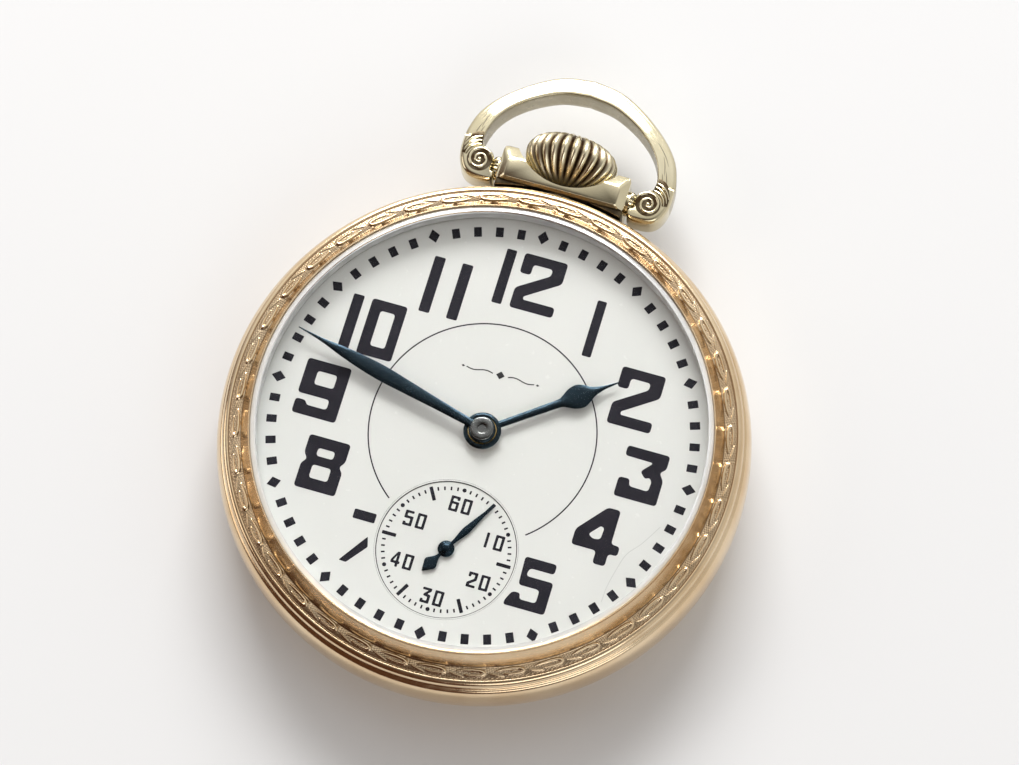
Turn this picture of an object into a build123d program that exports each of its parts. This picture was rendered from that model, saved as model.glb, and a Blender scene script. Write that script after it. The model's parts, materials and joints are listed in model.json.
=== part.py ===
"""Open-face pocket watch, size 16: screw-back case, swivel bow, lever-set movement.

Frame: millimetres. The origin is the middle of the flat rest on the back cover, +Z comes out of the
dial and +Y runs to twelve o'clock, through the pendant and the bow.
"""

import os
from math import atan2, cos, degrees, hypot, radians, sin, sqrt

from build123d import *

os.makedirs("parts", exist_ok=True)

# ---- case
CASE_RADIUS = 25.5
CASE_MIDDLE = 6.0
DIAL_FACE = 9.4
DIAL_RADIUS = 21.6
OPENING_RADIUS = 21.5
LIP_HEIGHT = 11.95
CRYSTAL_TOP = 13.0
BACK_WALL = 0.55
BACK_FLAT = 14.0

# ---- pendant, crown and bow
PENDANT_HALF_WIDTH = 6.4
PENDANT_HALF_DEPTH = 2.8
PENDANT_TOP = 28.85
PENDANT_FOOT = 25.3
SADDLE_RADIUS = 5.93
SADDLE_CENTRE = 31.98
SADDLE_CORNER = sqrt(SADDLE_RADIUS**2 - (SADDLE_CENTRE - PENDANT_TOP) ** 2)
CROWN_RADIUS = 4.6
CROWN_FLUTES = 26
BOW_PIVOT = 26.95
BOW_DEPTH = 3.2
# right half of the bow: outside of the arch, inside of the arch, corners beside the pivot
BOW_OUTSIDE = [
    (10.32, 26.35), (10.58, 27.3), (10.66, 28.4), (10.5, 30.0),
    (9.78, 32.0), (8.15, 34.0), (5.55, 36.05), (2.9, 37.4),
]
BOW_INSIDE = [(8.75, 29.0), (8.55, 30.2), (7.9, 31.75), (6.65, 33.25), (4.8, 34.6), (2.5, 35.64)]
BOW_NOTCH = [(7.6, 25.05), (6.72, 25.4), (6.72, 26.1), (7.22, 26.3), (7.22, 27.7)]
BOW_TOP = 37.9
BOW_INNER_TOP = 36.0

# ---- movement levels
BRIDGE_LOW = 1.5
BRIDGE_HIGH = 3.1
PLATE_LOW = 6.1
PLATE_HIGH = 8.7
RECESS = 7.8
BRIDGE_RADIUS = 19.6

# ---- movement plan
BARREL = (-8.2, 6.56)
THIRD = (4.124, -6.443)
FOURTH = (0.0, -11.85)
ESCAPE = (-4.66, -15.16)
PALLET = (-6.892, -11.654)
BALANCE = (-9.6, -7.4)
CROWN_WHEEL = (0.0, 12.7)
MINUTE_WHEEL = (0.0, 3.84)
SETTING_WHEEL = (0.0, 8.64)
YOKE_WHEEL = (0.0, 12.48)
COCK_FOOT = (-17.6, 0.5)
PALLET_FOOT = (-9.7, -13.4)
BARREL_PILLARS = [(-5.6, 17.1), (9.5, 14.9), (16.8, 4.6), (8.0, 4.9)]
TRAIN_PILLARS = [(16.8, -1.4), (11.5, -13.2), (3.4, -17.8)]
PILLAR_RADIUS = 1.3
BALANCE_RADIUS = 7.6

# ---- hands, degrees clockwise from twelve
HOUR_ANGLE = 53.7
MINUTE_ANGLE = 284.0
SECONDS_ANGLE = 30.5
# half outlines of the hands: distance from the arbor, half width
HOUR_SPADE = [
    (0, 0.34), (7.7, 0.4), (8.3, 0.62), (8.9, 0.98), (9.5, 1.15),
    (10.0, 1.15), (10.6, 0.86), (11.2, 0.48), (12.2, 0.2), (13.7, 0.07),
]
MINUTE_LEAF = [
    (0, 0.4), (2.0, 0.42), (5.4, 0.54), (8.5, 0.68), (10.8, 0.77),
    (12.8, 0.72), (15.0, 0.54), (17.4, 0.22), (20.3, 0.06),
]
SECONDS_LEAF = [(0, 0.14), (1.2, 0.2), (2.4, 0.36), (3.2, 0.32), (6.15, 0.08)]
SECONDS_TAIL = [(0, 0.16), (-1.0, 0.18), (-2.0, 0.66), (-3.05, 0.02)]


def from_twelve(angle):
    return 90.0 - angle


def direction(a, b):
    return degrees(atan2(b[1] - a[1], b[0] - a[0]))


def distance(a, b):
    return hypot(b[0] - a[0], b[1] - a[1])


def mirrored(half):
    """Closed outline from the points of its upper half."""
    return [*half, *[(x, -y) for x, y in reversed(half)]]


def meshed(teeth_a, phase_a, teeth_b, heading):
    """Angle of a tooth of gear b that meshes with gear a, which sees b along heading."""
    fraction = ((phase_a - heading) * teeth_a / 360.0) % 1.0
    return heading + 180.0 - fraction * 360.0 / teeth_b + 180.0 / teeth_b


def tooth_points(teeth, module, phase, width=0.40, tip=0.9, root=1.15):
    pitch_radius = teeth * module / 2.0
    step = 360.0 / teeth
    outline = []
    for i in range(teeth):
        middle = phase + i * step
        for radius, share in (
            (pitch_radius - root * module, -width - 0.06),
            (pitch_radius + tip * module, -width * 0.42),
            (pitch_radius + tip * module, width * 0.42),
            (pitch_radius - root * module, width + 0.06),
        ):
            angle = radians(middle + share * step / 2.0)
            outline.append((radius * cos(angle), radius * sin(angle)))
    return outline


def toothed(teeth, module, centre, low, high, phase=0.0, bore=0.0, rim=0.0, spokes=5, hub=1.2,
            spoke=0.5, width=0.40):
    """A spur wheel; with a rim width given it is crossed out to thin spokes."""
    with BuildPart() as wheel:
        with BuildSketch(Plane((centre[0], centre[1], low))):
            Polygon(*tooth_points(teeth, module, phase, width), align=None)
            if rim:
                inner = teeth * module / 2.0 - 1.15 * module - rim
                Circle(inner, mode=Mode.SUBTRACT)
                with PolarLocations(0, spokes):
                    Rectangle(inner + rim / 2.0, spoke, align=(Align.MIN, Align.CENTER))
                Circle(hub)
            if bore:
                Circle(bore, mode=Mode.SUBTRACT)
        extrude(amount=high - low)
    return wheel.part


def arbor(centre, steps):
    """A turned arbor along Z: steps are (radius, low, high)."""
    with BuildPart() as turned:
        for radius, low, high in steps:
            with BuildSketch(Plane((centre[0], centre[1], low))):
                Circle(radius)
            extrude(amount=high - low)
    return turned.part


def screws(places, head_low, head_high, head, shank, end, slot=0.22):
    """Slotted screws with their heads towards the back cover."""
    with BuildPart() as group:
        with BuildSketch(Plane.XY.offset(head_low)):
            with Locations(*places):
                Circle(head)
        extrude(amount=head_high - head_low)
        with BuildSketch(Plane.XY.offset(head_high)):
            with Locations(*places):
                Circle(shank)
        extrude(amount=end - head_high)
        with BuildSketch(Plane.XY.offset(head_low)):
            with Locations(*places):
                Rectangle(2.2 * head, slot, rotation=35)
        extrude(amount=0.45 * (head_high - head_low), mode=Mode.SUBTRACT)
    return group.part


def spiral(centre, start, growth, half_turns, strip, low, high, turn=0.0):
    """A flat spiral spring laid out as half circles that grow by growth each."""
    shift = growth / 2.0
    with BuildPart() as spring:
        with BuildSketch(Plane((centre[0], centre[1], low)).rotated((0, 0, turn))):
            with BuildLine():
                for side in (1, -1):
                    offset = side * strip / 2.0
                    for i in range(half_turns):
                        middle = (shift if i % 2 else -shift, 0)
                        radius = start + i * growth + offset
                        CenterArc(middle, radius, 180.0 * (i % 2), 180.0)
                inner = start - shift
                Line((inner + strip / 2.0, 0), (inner - strip / 2.0, 0))
                last = start + (half_turns - 1) * growth
                sign = 1 if half_turns % 2 == 0 else -1
                centre_x = shift if (half_turns - 1) % 2 else -shift
                Line(
                    (centre_x + sign * (last + strip / 2.0), 0),
                    (centre_x + sign * (last - strip / 2.0), 0),
                )
            make_face()
        extrude(amount=high - low)
    return spring.part


# ======================================================================= case

with BuildPart() as case_center:
    with BuildSketch(Plane.XZ):
        with BuildLine():
            Polyline((24.75, 3.5), (24.55, 3.35), (24.75, 3.2), (24.72, 2.95), (23.4, 2.95))
            Polyline((23.4, 2.95), (23.4, 2.5), (22.4, 2.5), (22.4, 6.1), (21.2, 6.1), (21.2, 7.9))
            Polyline((21.2, 7.9), (21.75, 7.9), (21.75, 9.5), (23.1, 9.5), (23.1, 9.08))
            Polyline((23.1, 9.08), (24.62, 9.08), (24.75, 8.8), (24.55, 8.65), (24.75, 8.5))
            ThreePointArc((24.75, 8.5), (CASE_RADIUS, CASE_MIDDLE), (24.75, 3.5))
        make_face()
    revolve(axis=Axis.Z)
    # the sleeve of the winding stem passes through the band
    with BuildSketch(Plane((0, 20.0, CASE_MIDDLE), x_dir=(1, 0, 0), z_dir=(0, 1, 0))):
        Circle(2.0)
    extrude(amount=7.0, mode=Mode.SUBTRACT)
case_center.part.label = "case_center"

with BuildPart() as pendant:
    with BuildSketch(Plane.XY.offset(CASE_MIDDLE - PENDANT_HALF_DEPTH)):
        with BuildLine():
            Polyline(
                (-SADDLE_CORNER, PENDANT_TOP),
                (-PENDANT_HALF_WIDTH + 0.3, PENDANT_TOP),
                (-PENDANT_HALF_WIDTH, PENDANT_TOP - 0.4),
                (-PENDANT_HALF_WIDTH, PENDANT_FOOT),
                (PENDANT_HALF_WIDTH, PENDANT_FOOT),
                (PENDANT_HALF_WIDTH, PENDANT_TOP - 0.4),
                (PENDANT_HALF_WIDTH - 0.3, PENDANT_TOP),
                (SADDLE_CORNER, PENDANT_TOP),
            )
            ThreePointArc(
                (SADDLE_CORNER, PENDANT_TOP),
                (0, SADDLE_CENTRE - SADDLE_RADIUS),
                (-SADDLE_CORNER, PENDANT_TOP),
            )
        make_face()
    extrude(amount=2 * PENDANT_HALF_DEPTH)
    for side in (1, -1):
        face = CASE_MIDDLE + side * PENDANT_HALF_DEPTH
        # facet over the front and the back of both shoulders
        with BuildSketch(Plane.YZ.offset(-7.0)):
            with BuildLine():
                Polyline(
                    (27.5, face),
                    (29.2, face - side * 0.85),
                    (29.2, face + side * 0.2),
                    (27.5, face),
                )
            make_face()
        extrude(amount=14.0, mode=Mode.SUBTRACT)
        # facets down both ends
        for end in (1, -1):
            edge = end * PENDANT_HALF_WIDTH
            with BuildSketch(Plane.XZ.offset(-30.0)):
                with BuildLine():
                    Polyline(
                        (edge - end * 0.75, face + side * 0.01),
                        (edge + end * 0.01, face - side * 0.6),
                        (edge + end * 0.3, face + side * 0.3),
                        (edge - end * 0.75, face + side * 0.01),
                    )
                make_face()
            extrude(amount=6.0, mode=Mode.SUBTRACT)
    # neck, blending into the band of the case
    with BuildSketch(Plane.XY.offset(CASE_MIDDLE - 2.2)):
        with Locations((0, 24.4)):
            Rectangle(12.7, 1.9)
    extrude(amount=4.4)
    # bore for the sleeve, and pivot holes for the bow screws
    with BuildSketch(Plane((0, 20.0, CASE_MIDDLE), x_dir=(1, 0, 0), z_dir=(0, 1, 0))):
        Circle(2.0)
    extrude(amount=12.0, mode=Mode.SUBTRACT)
    with BuildSketch(Plane((-8.0, BOW_PIVOT, CASE_MIDDLE), x_dir=(0, 1, 0), z_dir=(1, 0, 0))):
        Circle(0.72)
    extrude(amount=16.0, mode=Mode.SUBTRACT)
    # the foot of the neck fits the barrel shape of the band
    with BuildSketch(Plane.XZ):
        with BuildLine():
            Polyline((24.75, 8.5), (15.0, 8.5), (15.0, 3.5), (24.75, 3.5))
            ThreePointArc((24.75, 3.5), (CASE_RADIUS, CASE_MIDDLE), (24.75, 8.5))
        make_face()
    revolve(axis=Axis.Z, mode=Mode.SUBTRACT)
pendant.part.label = "pendant"

with BuildPart() as pendant_sleeve:
    with BuildSketch(Plane((0, 22.5, CASE_MIDDLE), x_dir=(1, 0, 0), z_dir=(0, 1, 0))):
        Circle(1.98)
        Circle(1.05, mode=Mode.SUBTRACT)
    extrude(amount=3.5)
    with BuildSketch(Plane((0, 26.0, CASE_MIDDLE), x_dir=(1, 0, 0), z_dir=(0, 1, 0))):
        Rectangle(4.4, 0.5)
    extrude(amount=-0.5, mode=Mode.SUBTRACT)
pendant_sleeve.part.label = "pendant_sleeve"

with BuildPart() as bezel:
    with BuildSketch(Plane.XZ):
        with BuildLine():
            Polyline((OPENING_RADIUS, 9.6), (23.15, 9.6), (23.15, 9.11), (24.62, 9.11))
            Spline((24.62, 9.11), (24.74, 9.42), (24.58, 9.74), (24.15, 9.9))
            Polyline((24.15, 9.9), (24.08, 9.86))
            Spline((24.08, 9.86), (23.45, 10.04), (22.86, 10.02))
            Polyline((22.86, 10.02), (22.8, 10.14), (22.05, 11.7))
            Spline((22.05, 11.7), (21.99, 11.89), (21.9, LIP_HEIGHT))
            Polyline((21.9, LIP_HEIGHT), (21.9, 11.12), (OPENING_RADIUS, 11.12), (OPENING_RADIUS, 9.6))
        make_face()
    revolve(axis=Axis.Z)
bezel.part.label = "bezel"

with BuildPart() as crystal:
    with BuildSketch(Plane.XZ):
        with BuildLine():
            Line((0, 12.1), (0, CRYSTAL_TOP))
            Spline((0, CRYSTAL_TOP), (11.0, 12.72), (21.2, 11.86), tangents=((1, 0), (1, -0.12)))
            Polyline((21.2, 11.86), (21.88, 11.55), (21.88, 11.13), (20.6, 11.13))
            Spline((20.6, 11.13), (11.0, 11.83), (0, 12.1), tangents=((-1, 0.12), (-1, 0)))
        make_face()
    revolve(axis=Axis.Z)
crystal.part.label = "crystal"

with BuildPart() as case_back:
    with BuildSketch(Plane.XZ):
        with BuildLine():
            Line((0, 0), (BACK_FLAT, 0))
            Spline((BACK_FLAT, 0), (20.0, 0.75), (23.6, 1.75), (24.72, 2.45), tangents=((1, 0), (0.5, 1)))
            Polyline((24.72, 2.45), (24.74, 2.92), (23.45, 2.92), (23.45, 2.4), (22.2, 2.4))
            Spline((22.2, 2.4), (20.0, 1.34), (BACK_FLAT - 0.3, BACK_WALL), tangents=((-1, -0.6), (-1, 0)))
            Polyline((BACK_FLAT - 0.3, BACK_WALL), (0, BACK_WALL), (0, 0))
        make_face()
    revolve(axis=Axis.Z)
case_back.part.label = "case_back"

# ==================================================================== bow, crown

with BuildPart() as bow:
    with BuildSketch(Plane.XY.offset(CASE_MIDDLE - BOW_DEPTH / 2)):
        with BuildLine():
            outside = [*BOW_OUTSIDE, (0, BOW_TOP), *[(-x, y) for x, y in reversed(BOW_OUTSIDE)]]
            inside = [*BOW_INSIDE, (0, BOW_INNER_TOP), *[(-x, y) for x, y in reversed(BOW_INSIDE)]]
            Spline(*outside)
            Spline(*inside)
            for side in (1, -1):
                corners = [(side * x, y) for x, y in BOW_NOTCH]
                Polyline(*corners)
                ThreePointArc((side * 10.32, 26.35), (side * 9.3, 25.27), corners[0])
                ThreePointArc(corners[-1], (side * 8.15, 28.15), (side * 8.75, 29.0))
        make_face()
    extrude(amount=BOW_DEPTH)
    # pivot holes, each with a counterbore for the head of its screw
    for side in (1, -1):
        out = (side, 0, 0)
        with BuildSketch(Plane((side * 6.0, BOW_PIVOT, CASE_MIDDLE), x_dir=(0, 1, 0), z_dir=out)):
            Circle(0.76)
        extrude(amount=3.3, mode=Mode.SUBTRACT)
        with BuildSketch(Plane((side * 9.2, BOW_PIVOT, CASE_MIDDLE), x_dir=(0, 1, 0), z_dir=out)):
            Circle(1.0)
        extrude(amount=2.0, mode=Mode.SUBTRACT)
bow.part.label = "bow"

with BuildPart() as bow_screws:
    for side in (1, -1):
        out = (side, 0, 0)
        with BuildSketch(Plane((side * 4.6, BOW_PIVOT, CASE_MIDDLE), x_dir=(0, 1, 0), z_dir=out)):
            Circle(0.7)
        extrude(amount=4.65)
        with BuildSketch(Plane((side * 9.24, BOW_PIVOT, CASE_MIDDLE), x_dir=(0, 1, 0), z_dir=out)):
            Circle(0.94)
        extrude(amount=0.5)
        with BuildSketch(Plane((side * 9.74, BOW_PIVOT, CASE_MIDDLE), x_dir=(0, 1, 0), z_dir=out)):
            Rectangle(0.3, 3.0)
        extrude(amount=-0.2, mode=Mode.SUBTRACT)
        # collar between the scroll and the end of the pendant
        with BuildSketch(Plane((side * 6.42, BOW_PIVOT, CASE_MIDDLE), x_dir=(0, 1, 0), z_dir=out)):
            Circle(1.25)
        extrude(amount=0.22)
bow_screws.part.label = "bow_screws"

CROWN_PLANE = Plane((0, 0, CASE_MIDDLE), x_dir=(1, 0, 0), z_dir=(0, 0, 1))
with BuildPart() as crown:
    with BuildSketch(CROWN_PLANE):
        with BuildLine():
            Polyline((1.62, 28.3), (1.06, 28.3), (1.06, 26.4), (1.75, 26.45))
            Spline(
                (1.75, 26.45), (2.7, 26.98), (4.1, 28.2),
                (CROWN_RADIUS, 29.5), (4.1, 30.75), (2.75, 31.45),
            )
            Polyline((2.75, 31.45), (2.2, 31.62), (0, 31.75), (0, 30.9), (1.62, 30.9), (1.62, 28.3))
        make_face()
    revolve(axis=Axis((0, 0, CASE_MIDDLE), (0, 1, 0)))
    # rounded flutes all round the widest part
    with BuildSketch(Plane((0, 26.0, CASE_MIDDLE), x_dir=(1, 0, 0), z_dir=(0, 1, 0))):
        with PolarLocations(CROWN_RADIUS + 0.12, CROWN_FLUTES):
            Circle(0.3)
    extrude(amount=7.0, mode=Mode.SUBTRACT)
crown.part.label = "crown"

with BuildPart() as crown_core:
    with BuildSketch(Plane((0, 28.35, CASE_MIDDLE), x_dir=(1, 0, 0), z_dir=(0, 1, 0))):
        Circle(1.6)
        Circle(0.97, mode=Mode.SUBTRACT)
    extrude(amount=2.5)
crown_core.part.label = "crown_core"

with BuildPart() as winding_stem:
    with BuildSketch(Plane((0, 21.5, CASE_MIDDLE), x_dir=(1, 0, 0), z_dir=(0, 1, 0))):
        Circle(0.95)
    extrude(amount=9.2)
    with BuildSketch(Plane((0, 18.6, CASE_MIDDLE), x_dir=(1, 0, 0), z_dir=(0, 1, 0))):
        Rectangle(0.9, 0.9)
    extrude(amount=3.0)
winding_stem.part.label = "winding_stem"

# ============================================================ winding work in the movement

with BuildPart() as winding_arbor:
    for radius, start, end in ((0.4, 13.3, 14.0), (0.9, 14.0, 20.0), (1.1, 18.7, 20.9)):
        with BuildSketch(Plane((0, start, CASE_MIDDLE), x_dir=(1, 0, 0), z_dir=(0, 1, 0))):
            Circle(radius)
        extrude(amount=end - start)
    with BuildSketch(Plane((0, 18.0, CASE_MIDDLE), x_dir=(1, 0, 0), z_dir=(0, 1, 0))):
        Rectangle(0.96, 0.96)
    extrude(amount=3.0, mode=Mode.SUBTRACT)
winding_arbor.part.label = "winding_arbor"

WINDING_TEETH = 36
RATCHET_TEETH = 42
WINDING_MODULE = 2.0 * distance(CROWN_WHEEL, BARREL) / (WINDING_TEETH + RATCHET_TEETH)
PINION_TEETH = 16

with BuildPart() as winding_pinion:
    with BuildSketch(Plane((0, 17.25, CASE_MIDDLE), x_dir=(1, 0, 0), z_dir=(0, 1, 0))):
        Polygon(*tooth_points(PINION_TEETH, WINDING_MODULE, 90.0 + 180.0 / PINION_TEETH, 0.36), align=None)
        Circle(0.92, mode=Mode.SUBTRACT)
    extrude(amount=1.3)
winding_pinion.part.label = "winding_pinion"

with BuildPart() as clutch_wheel:
    with BuildSketch(Plane((0, 14.95, CASE_MIDDLE), x_dir=(1, 0, 0), z_dir=(0, 1, 0))):
        Polygon(*tooth_points(14, 0.22, 0.0), align=None)
        Circle(0.92, mode=Mode.SUBTRACT)
    extrude(amount=0.6)
    with BuildSketch(Plane((0, 15.55, CASE_MIDDLE), x_dir=(1, 0, 0), z_dir=(0, 1, 0))):
        Circle(1.35)
        Circle(0.92, mode=Mode.SUBTRACT)
    extrude(amount=0.5)
    with BuildSketch(Plane((0, 16.05, CASE_MIDDLE), x_dir=(1, 0, 0), z_dir=(0, 1, 0))):
        Polygon(*tooth_points(14, 0.22, 0.0), align=None)
        Circle(0.92, mode=Mode.SUBTRACT)
    extrude(amount=1.0)
clutch_wheel.part.label = "clutch_wheel"

crown_phase = 90.0
ratchet_phase = meshed(WINDING_TEETH, crown_phase, RATCHET_TEETH, direction(CROWN_WHEEL, BARREL))
crown_wheel = toothed(
    WINDING_TEETH, WINDING_MODULE, CROWN_WHEEL, 3.4, 4.0, crown_phase, bore=0.95, width=0.36,
)
crown_wheel.label = "crown_wheel"
ratchet_wheel = toothed(RATCHET_TEETH, WINDING_MODULE, BARREL, 3.4, 4.0, ratchet_phase, bore=0.95)
ratchet_wheel.label = "ratchet_wheel"

with BuildPart() as crown_wheel_stud:
    for radius, low, high in ((0.9, 1.9, 4.03), (1.7, 4.03, 4.3)):
        with BuildSketch(Plane((CROWN_WHEEL[0], CROWN_WHEEL[1], low))):
            Circle(radius)
        extrude(amount=high - low)
crown_wheel_stud.part.label = "crown_wheel_stud"

CLICK = (-14.7, 10.75)
with BuildPart() as click:
    with BuildSketch(Plane((CLICK[0], CLICK[1], 3.4))):
        Circle(0.8)
        Polygon((0.2, 0.75), (-0.4, -0.6), (0.92, -1.95), (1.12, -1.8), (1.0, -0.3), align=None)
        Circle(0.42, mode=Mode.SUBTRACT)
    extrude(amount=0.55)
click.part.label = "click"

with BuildPart() as click_spring:
    with BuildSketch(Plane((CLICK[0], CLICK[1], 3.4))):
        Polygon(
            (-0.95, -0.7), (-1.15, -0.75), (-1.6, -4.1), (-1.1, -4.9), (-0.75, -4.8), (-1.25, -4.0),
            align=None,
        )
    extrude(amount=0.4)
    with BuildSketch(Plane((CLICK[0] - 1.0, CLICK[1] - 4.85, BRIDGE_HIGH))):
        Circle(0.42)
    extrude(amount=0.7)
click_spring.part.label = "click_spring"

# ==================================================================== plates and bridges

with BuildPart() as main_plate:
    with BuildSketch(Plane.XY.offset(PLATE_LOW)):
        Circle(21.1)
    extrude(amount=PLATE_HIGH - PLATE_LOW)
    with BuildSketch(Plane.XY.offset(7.92)):
        Circle(DIAL_RADIUS)
    extrude(amount=PLATE_HIGH - 7.92)
    # sunk seat for the centre wheel and the third pinion
    with BuildSketch(Plane.XY.offset(PLATE_LOW)):
        Circle(7.4)
        with Locations(THIRD):
            Circle(1.35)
    extrude(amount=0.8, mode=Mode.SUBTRACT)
    # dial side: room for the motion work
    with BuildSketch(Plane.XY.offset(RECESS)):
        Circle(3.6)
        with Locations(MINUTE_WHEEL):
            Circle(3.35)
        with Locations(SETTING_WHEEL, YOKE_WHEEL):
            Circle(2.35)
    extrude(amount=2.0, mode=Mode.SUBTRACT)
    with BuildSketch(Plane.XY.offset(RECESS)):
        with Locations(MINUTE_WHEEL, SETTING_WHEEL, YOKE_WHEEL):
            Circle(0.5)
    extrude(amount=0.75)
    # window and bearing of the winding work
    with BuildSketch(Plane.XY.offset(5.0)):
        with Locations((0, 16.85)):
            Rectangle(5.3, 4.2)
    extrude(amount=4.0, mode=Mode.SUBTRACT)
    with BuildSketch(Plane((0, 13.2, CASE_MIDDLE), x_dir=(1, 0, 0), z_dir=(0, 1, 0))):
        Circle(1.15)
    extrude(amount=10.0, mode=Mode.SUBTRACT)
    # bearing holes
    with BuildSketch(Plane.XY.offset(5.0)):
        Circle(1.1)
        with Locations(THIRD, FOURTH, ESCAPE, PALLET, BALANCE):
            Circle(0.8)
        with Locations(BARREL):
            Circle(1.25)
        with Locations(*BARREL_PILLARS, *TRAIN_PILLARS, COCK_FOOT, PALLET_FOOT):
            Circle(0.47)
    extrude(amount=5.0, mode=Mode.SUBTRACT)
    for angle in (75, -65):
        with BuildSketch(Plane((20.2 * cos(radians(angle)), 20.2 * sin(radians(angle)), 6.0))):
            Circle(0.52)
        extrude(amount=1.6, mode=Mode.SUBTRACT)
    for angle in (20, 200):
        with BuildSketch(Plane((19.5 * cos(radians(angle)), 19.5 * sin(radians(angle)), 7.9))):
            Circle(0.53)
        extrude(amount=1.0, mode=Mode.SUBTRACT)
main_plate.part.label = "main_plate"

with BuildPart() as barrel_bridge:
    with BuildSketch(Plane.XY.offset(BRIDGE_LOW)):
        Circle(BRIDGE_RADIUS)
        with Locations((0, -17.4)):
            Rectangle(44, 40, mode=Mode.SUBTRACT)
        with Locations(COCK_FOOT):
            Circle(2.6, mode=Mode.SUBTRACT)
    extrude(amount=BRIDGE_HIGH - BRIDGE_LOW)
    chamfer(barrel_bridge.faces().sort_by(Axis.Z)[0].edges().sort_by(Edge.length)[-2:], 0.2)
    with BuildSketch(Plane.XY.offset(BRIDGE_HIGH)):
        with Locations(*BARREL_PILLARS):
            Circle(PILLAR_RADIUS)
    extrude(amount=PLATE_LOW - BRIDGE_HIGH)
    with BuildSketch(Plane((CLICK[0], CLICK[1], BRIDGE_HIGH))):
        Circle(0.4)
    extrude(amount=0.95)
    with BuildSketch(Plane.XY.offset(1.0)):
        with Locations(*BARREL_PILLARS):
            Circle(0.47)
        with Locations(BARREL):
            Circle(1.15)
        with Locations(CROWN_WHEEL):
            Circle(0.9)
    extrude(amount=6.0, mode=Mode.SUBTRACT)
    with BuildSketch(Plane.XY.offset(1.0)):
        with Locations(*BARREL_PILLARS):
            Circle(1.0)
    extrude(amount=0.95, mode=Mode.SUBTRACT)
    with BuildSketch(Plane((CLICK[0] - 1.0, CLICK[1] - 4.85, BRIDGE_HIGH))):
        Circle(0.43)
    extrude(amount=-0.8, mode=Mode.SUBTRACT)
barrel_bridge.part.label = "barrel_bridge"

with BuildPart() as train_bridge:
    with BuildSketch(Plane.XY.offset(BRIDGE_LOW)):
        Circle(BRIDGE_RADIUS)
        with Locations((0, 22.3)):
            Rectangle(44, 40, mode=Mode.SUBTRACT)
        with Locations(BALANCE):
            Circle(8.25, mode=Mode.SUBTRACT)
        with Locations((-23.0, 0)):
            Rectangle(40, 40, mode=Mode.SUBTRACT)
        with Locations((-3.4, -15.6)):
            Circle(3.4)
        with Locations(BALANCE):
            Circle(8.0, mode=Mode.SUBTRACT)
    extrude(amount=BRIDGE_HIGH - BRIDGE_LOW)
    with BuildSketch(Plane.XY.offset(BRIDGE_HIGH)):
        with Locations(*TRAIN_PILLARS):
            Circle(1.15)
    extrude(amount=PLATE_LOW - BRIDGE_HIGH)
    with BuildSketch(Plane.XY.offset(1.0)):
        with Locations(*TRAIN_PILLARS):
            Circle(0.47)
        Circle(1.3)
        with Locations(THIRD, FOURTH, ESCAPE):
            Circle(1.2)
    extrude(amount=6.0, mode=Mode.SUBTRACT)
    with BuildSketch(Plane.XY.offset(1.0)):
        with Locations(*TRAIN_PILLARS):
            Circle(1.0)
    extrude(amount=0.95, mode=Mode.SUBTRACT)
train_bridge.part.label = "train_bridge"

COCK_HEADING = direction(COCK_FOOT, BALANCE)
COCK_LENGTH = distance(COCK_FOOT, BALANCE)
with BuildPart() as balance_cock:
    with BuildSketch(Plane((COCK_FOOT[0], COCK_FOOT[1], BRIDGE_LOW)).rotated((0, 0, COCK_HEADING))):
        Circle(1.95)
        with Locations((COCK_LENGTH, 0)):
            Circle(2.5)
        Polygon((0, -1.95), (0, 1.95), (COCK_LENGTH, 2.4), (COCK_LENGTH, -2.4), align=None)
    extrude(amount=1.0)
    chamfer(balance_cock.faces().sort_by(Axis.Z)[0].edges(), 0.18)
    with BuildSketch(Plane((COCK_FOOT[0], COCK_FOOT[1], 2.5))):
        Circle(1.6)
    extrude(amount=PLATE_LOW - 2.5)
    with BuildSketch(Plane((COCK_FOOT[0], COCK_FOOT[1], 1.0))):
        Circle(0.47)
    extrude(amount=6.0, mode=Mode.SUBTRACT)
    with BuildSketch(Plane((COCK_FOOT[0], COCK_FOOT[1], 1.0))):
        Circle(1.0)
    extrude(amount=0.95, mode=Mode.SUBTRACT)
    with BuildSketch(Plane((BALANCE[0], BALANCE[1], 1.0))):
        Circle(0.95)
    extrude(amount=2.0, mode=Mode.SUBTRACT)
balance_cock.part.label = "balance_cock"

PALLET_HEADING = direction(PALLET_FOOT, PALLET)
PALLET_REACH = distance(PALLET_FOOT, PALLET)
with BuildPart() as pallet_bridge:
    with BuildSketch(Plane((PALLET_FOOT[0], PALLET_FOOT[1], 4.08)).rotated((0, 0, PALLET_HEADING))):
        Circle(1.05)
        with Locations((PALLET_REACH, 0)):
            Circle(0.85)
        Polygon((0, -0.9), (0, 0.9), (PALLET_REACH, 0.75), (PALLET_REACH, -0.75), align=None)
    extrude(amount=0.34)
    with BuildSketch(Plane((PALLET_FOOT[0], PALLET_FOOT[1], 4.42))):
        Circle(0.95)
    extrude(amount=PLATE_LOW - 4.42)
    with BuildSketch(Plane((PALLET_FOOT[0], PALLET_FOOT[1], 4.0))):
        Circle(0.47)
    extrude(amount=3.0, mode=Mode.SUBTRACT)
    with BuildSketch(Plane((PALLET[0], PALLET[1], 4.0))):
        Circle(0.16)
    extrude(amount=1.0, mode=Mode.SUBTRACT)
pallet_bridge.part.label = "pallet_bridge"

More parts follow.
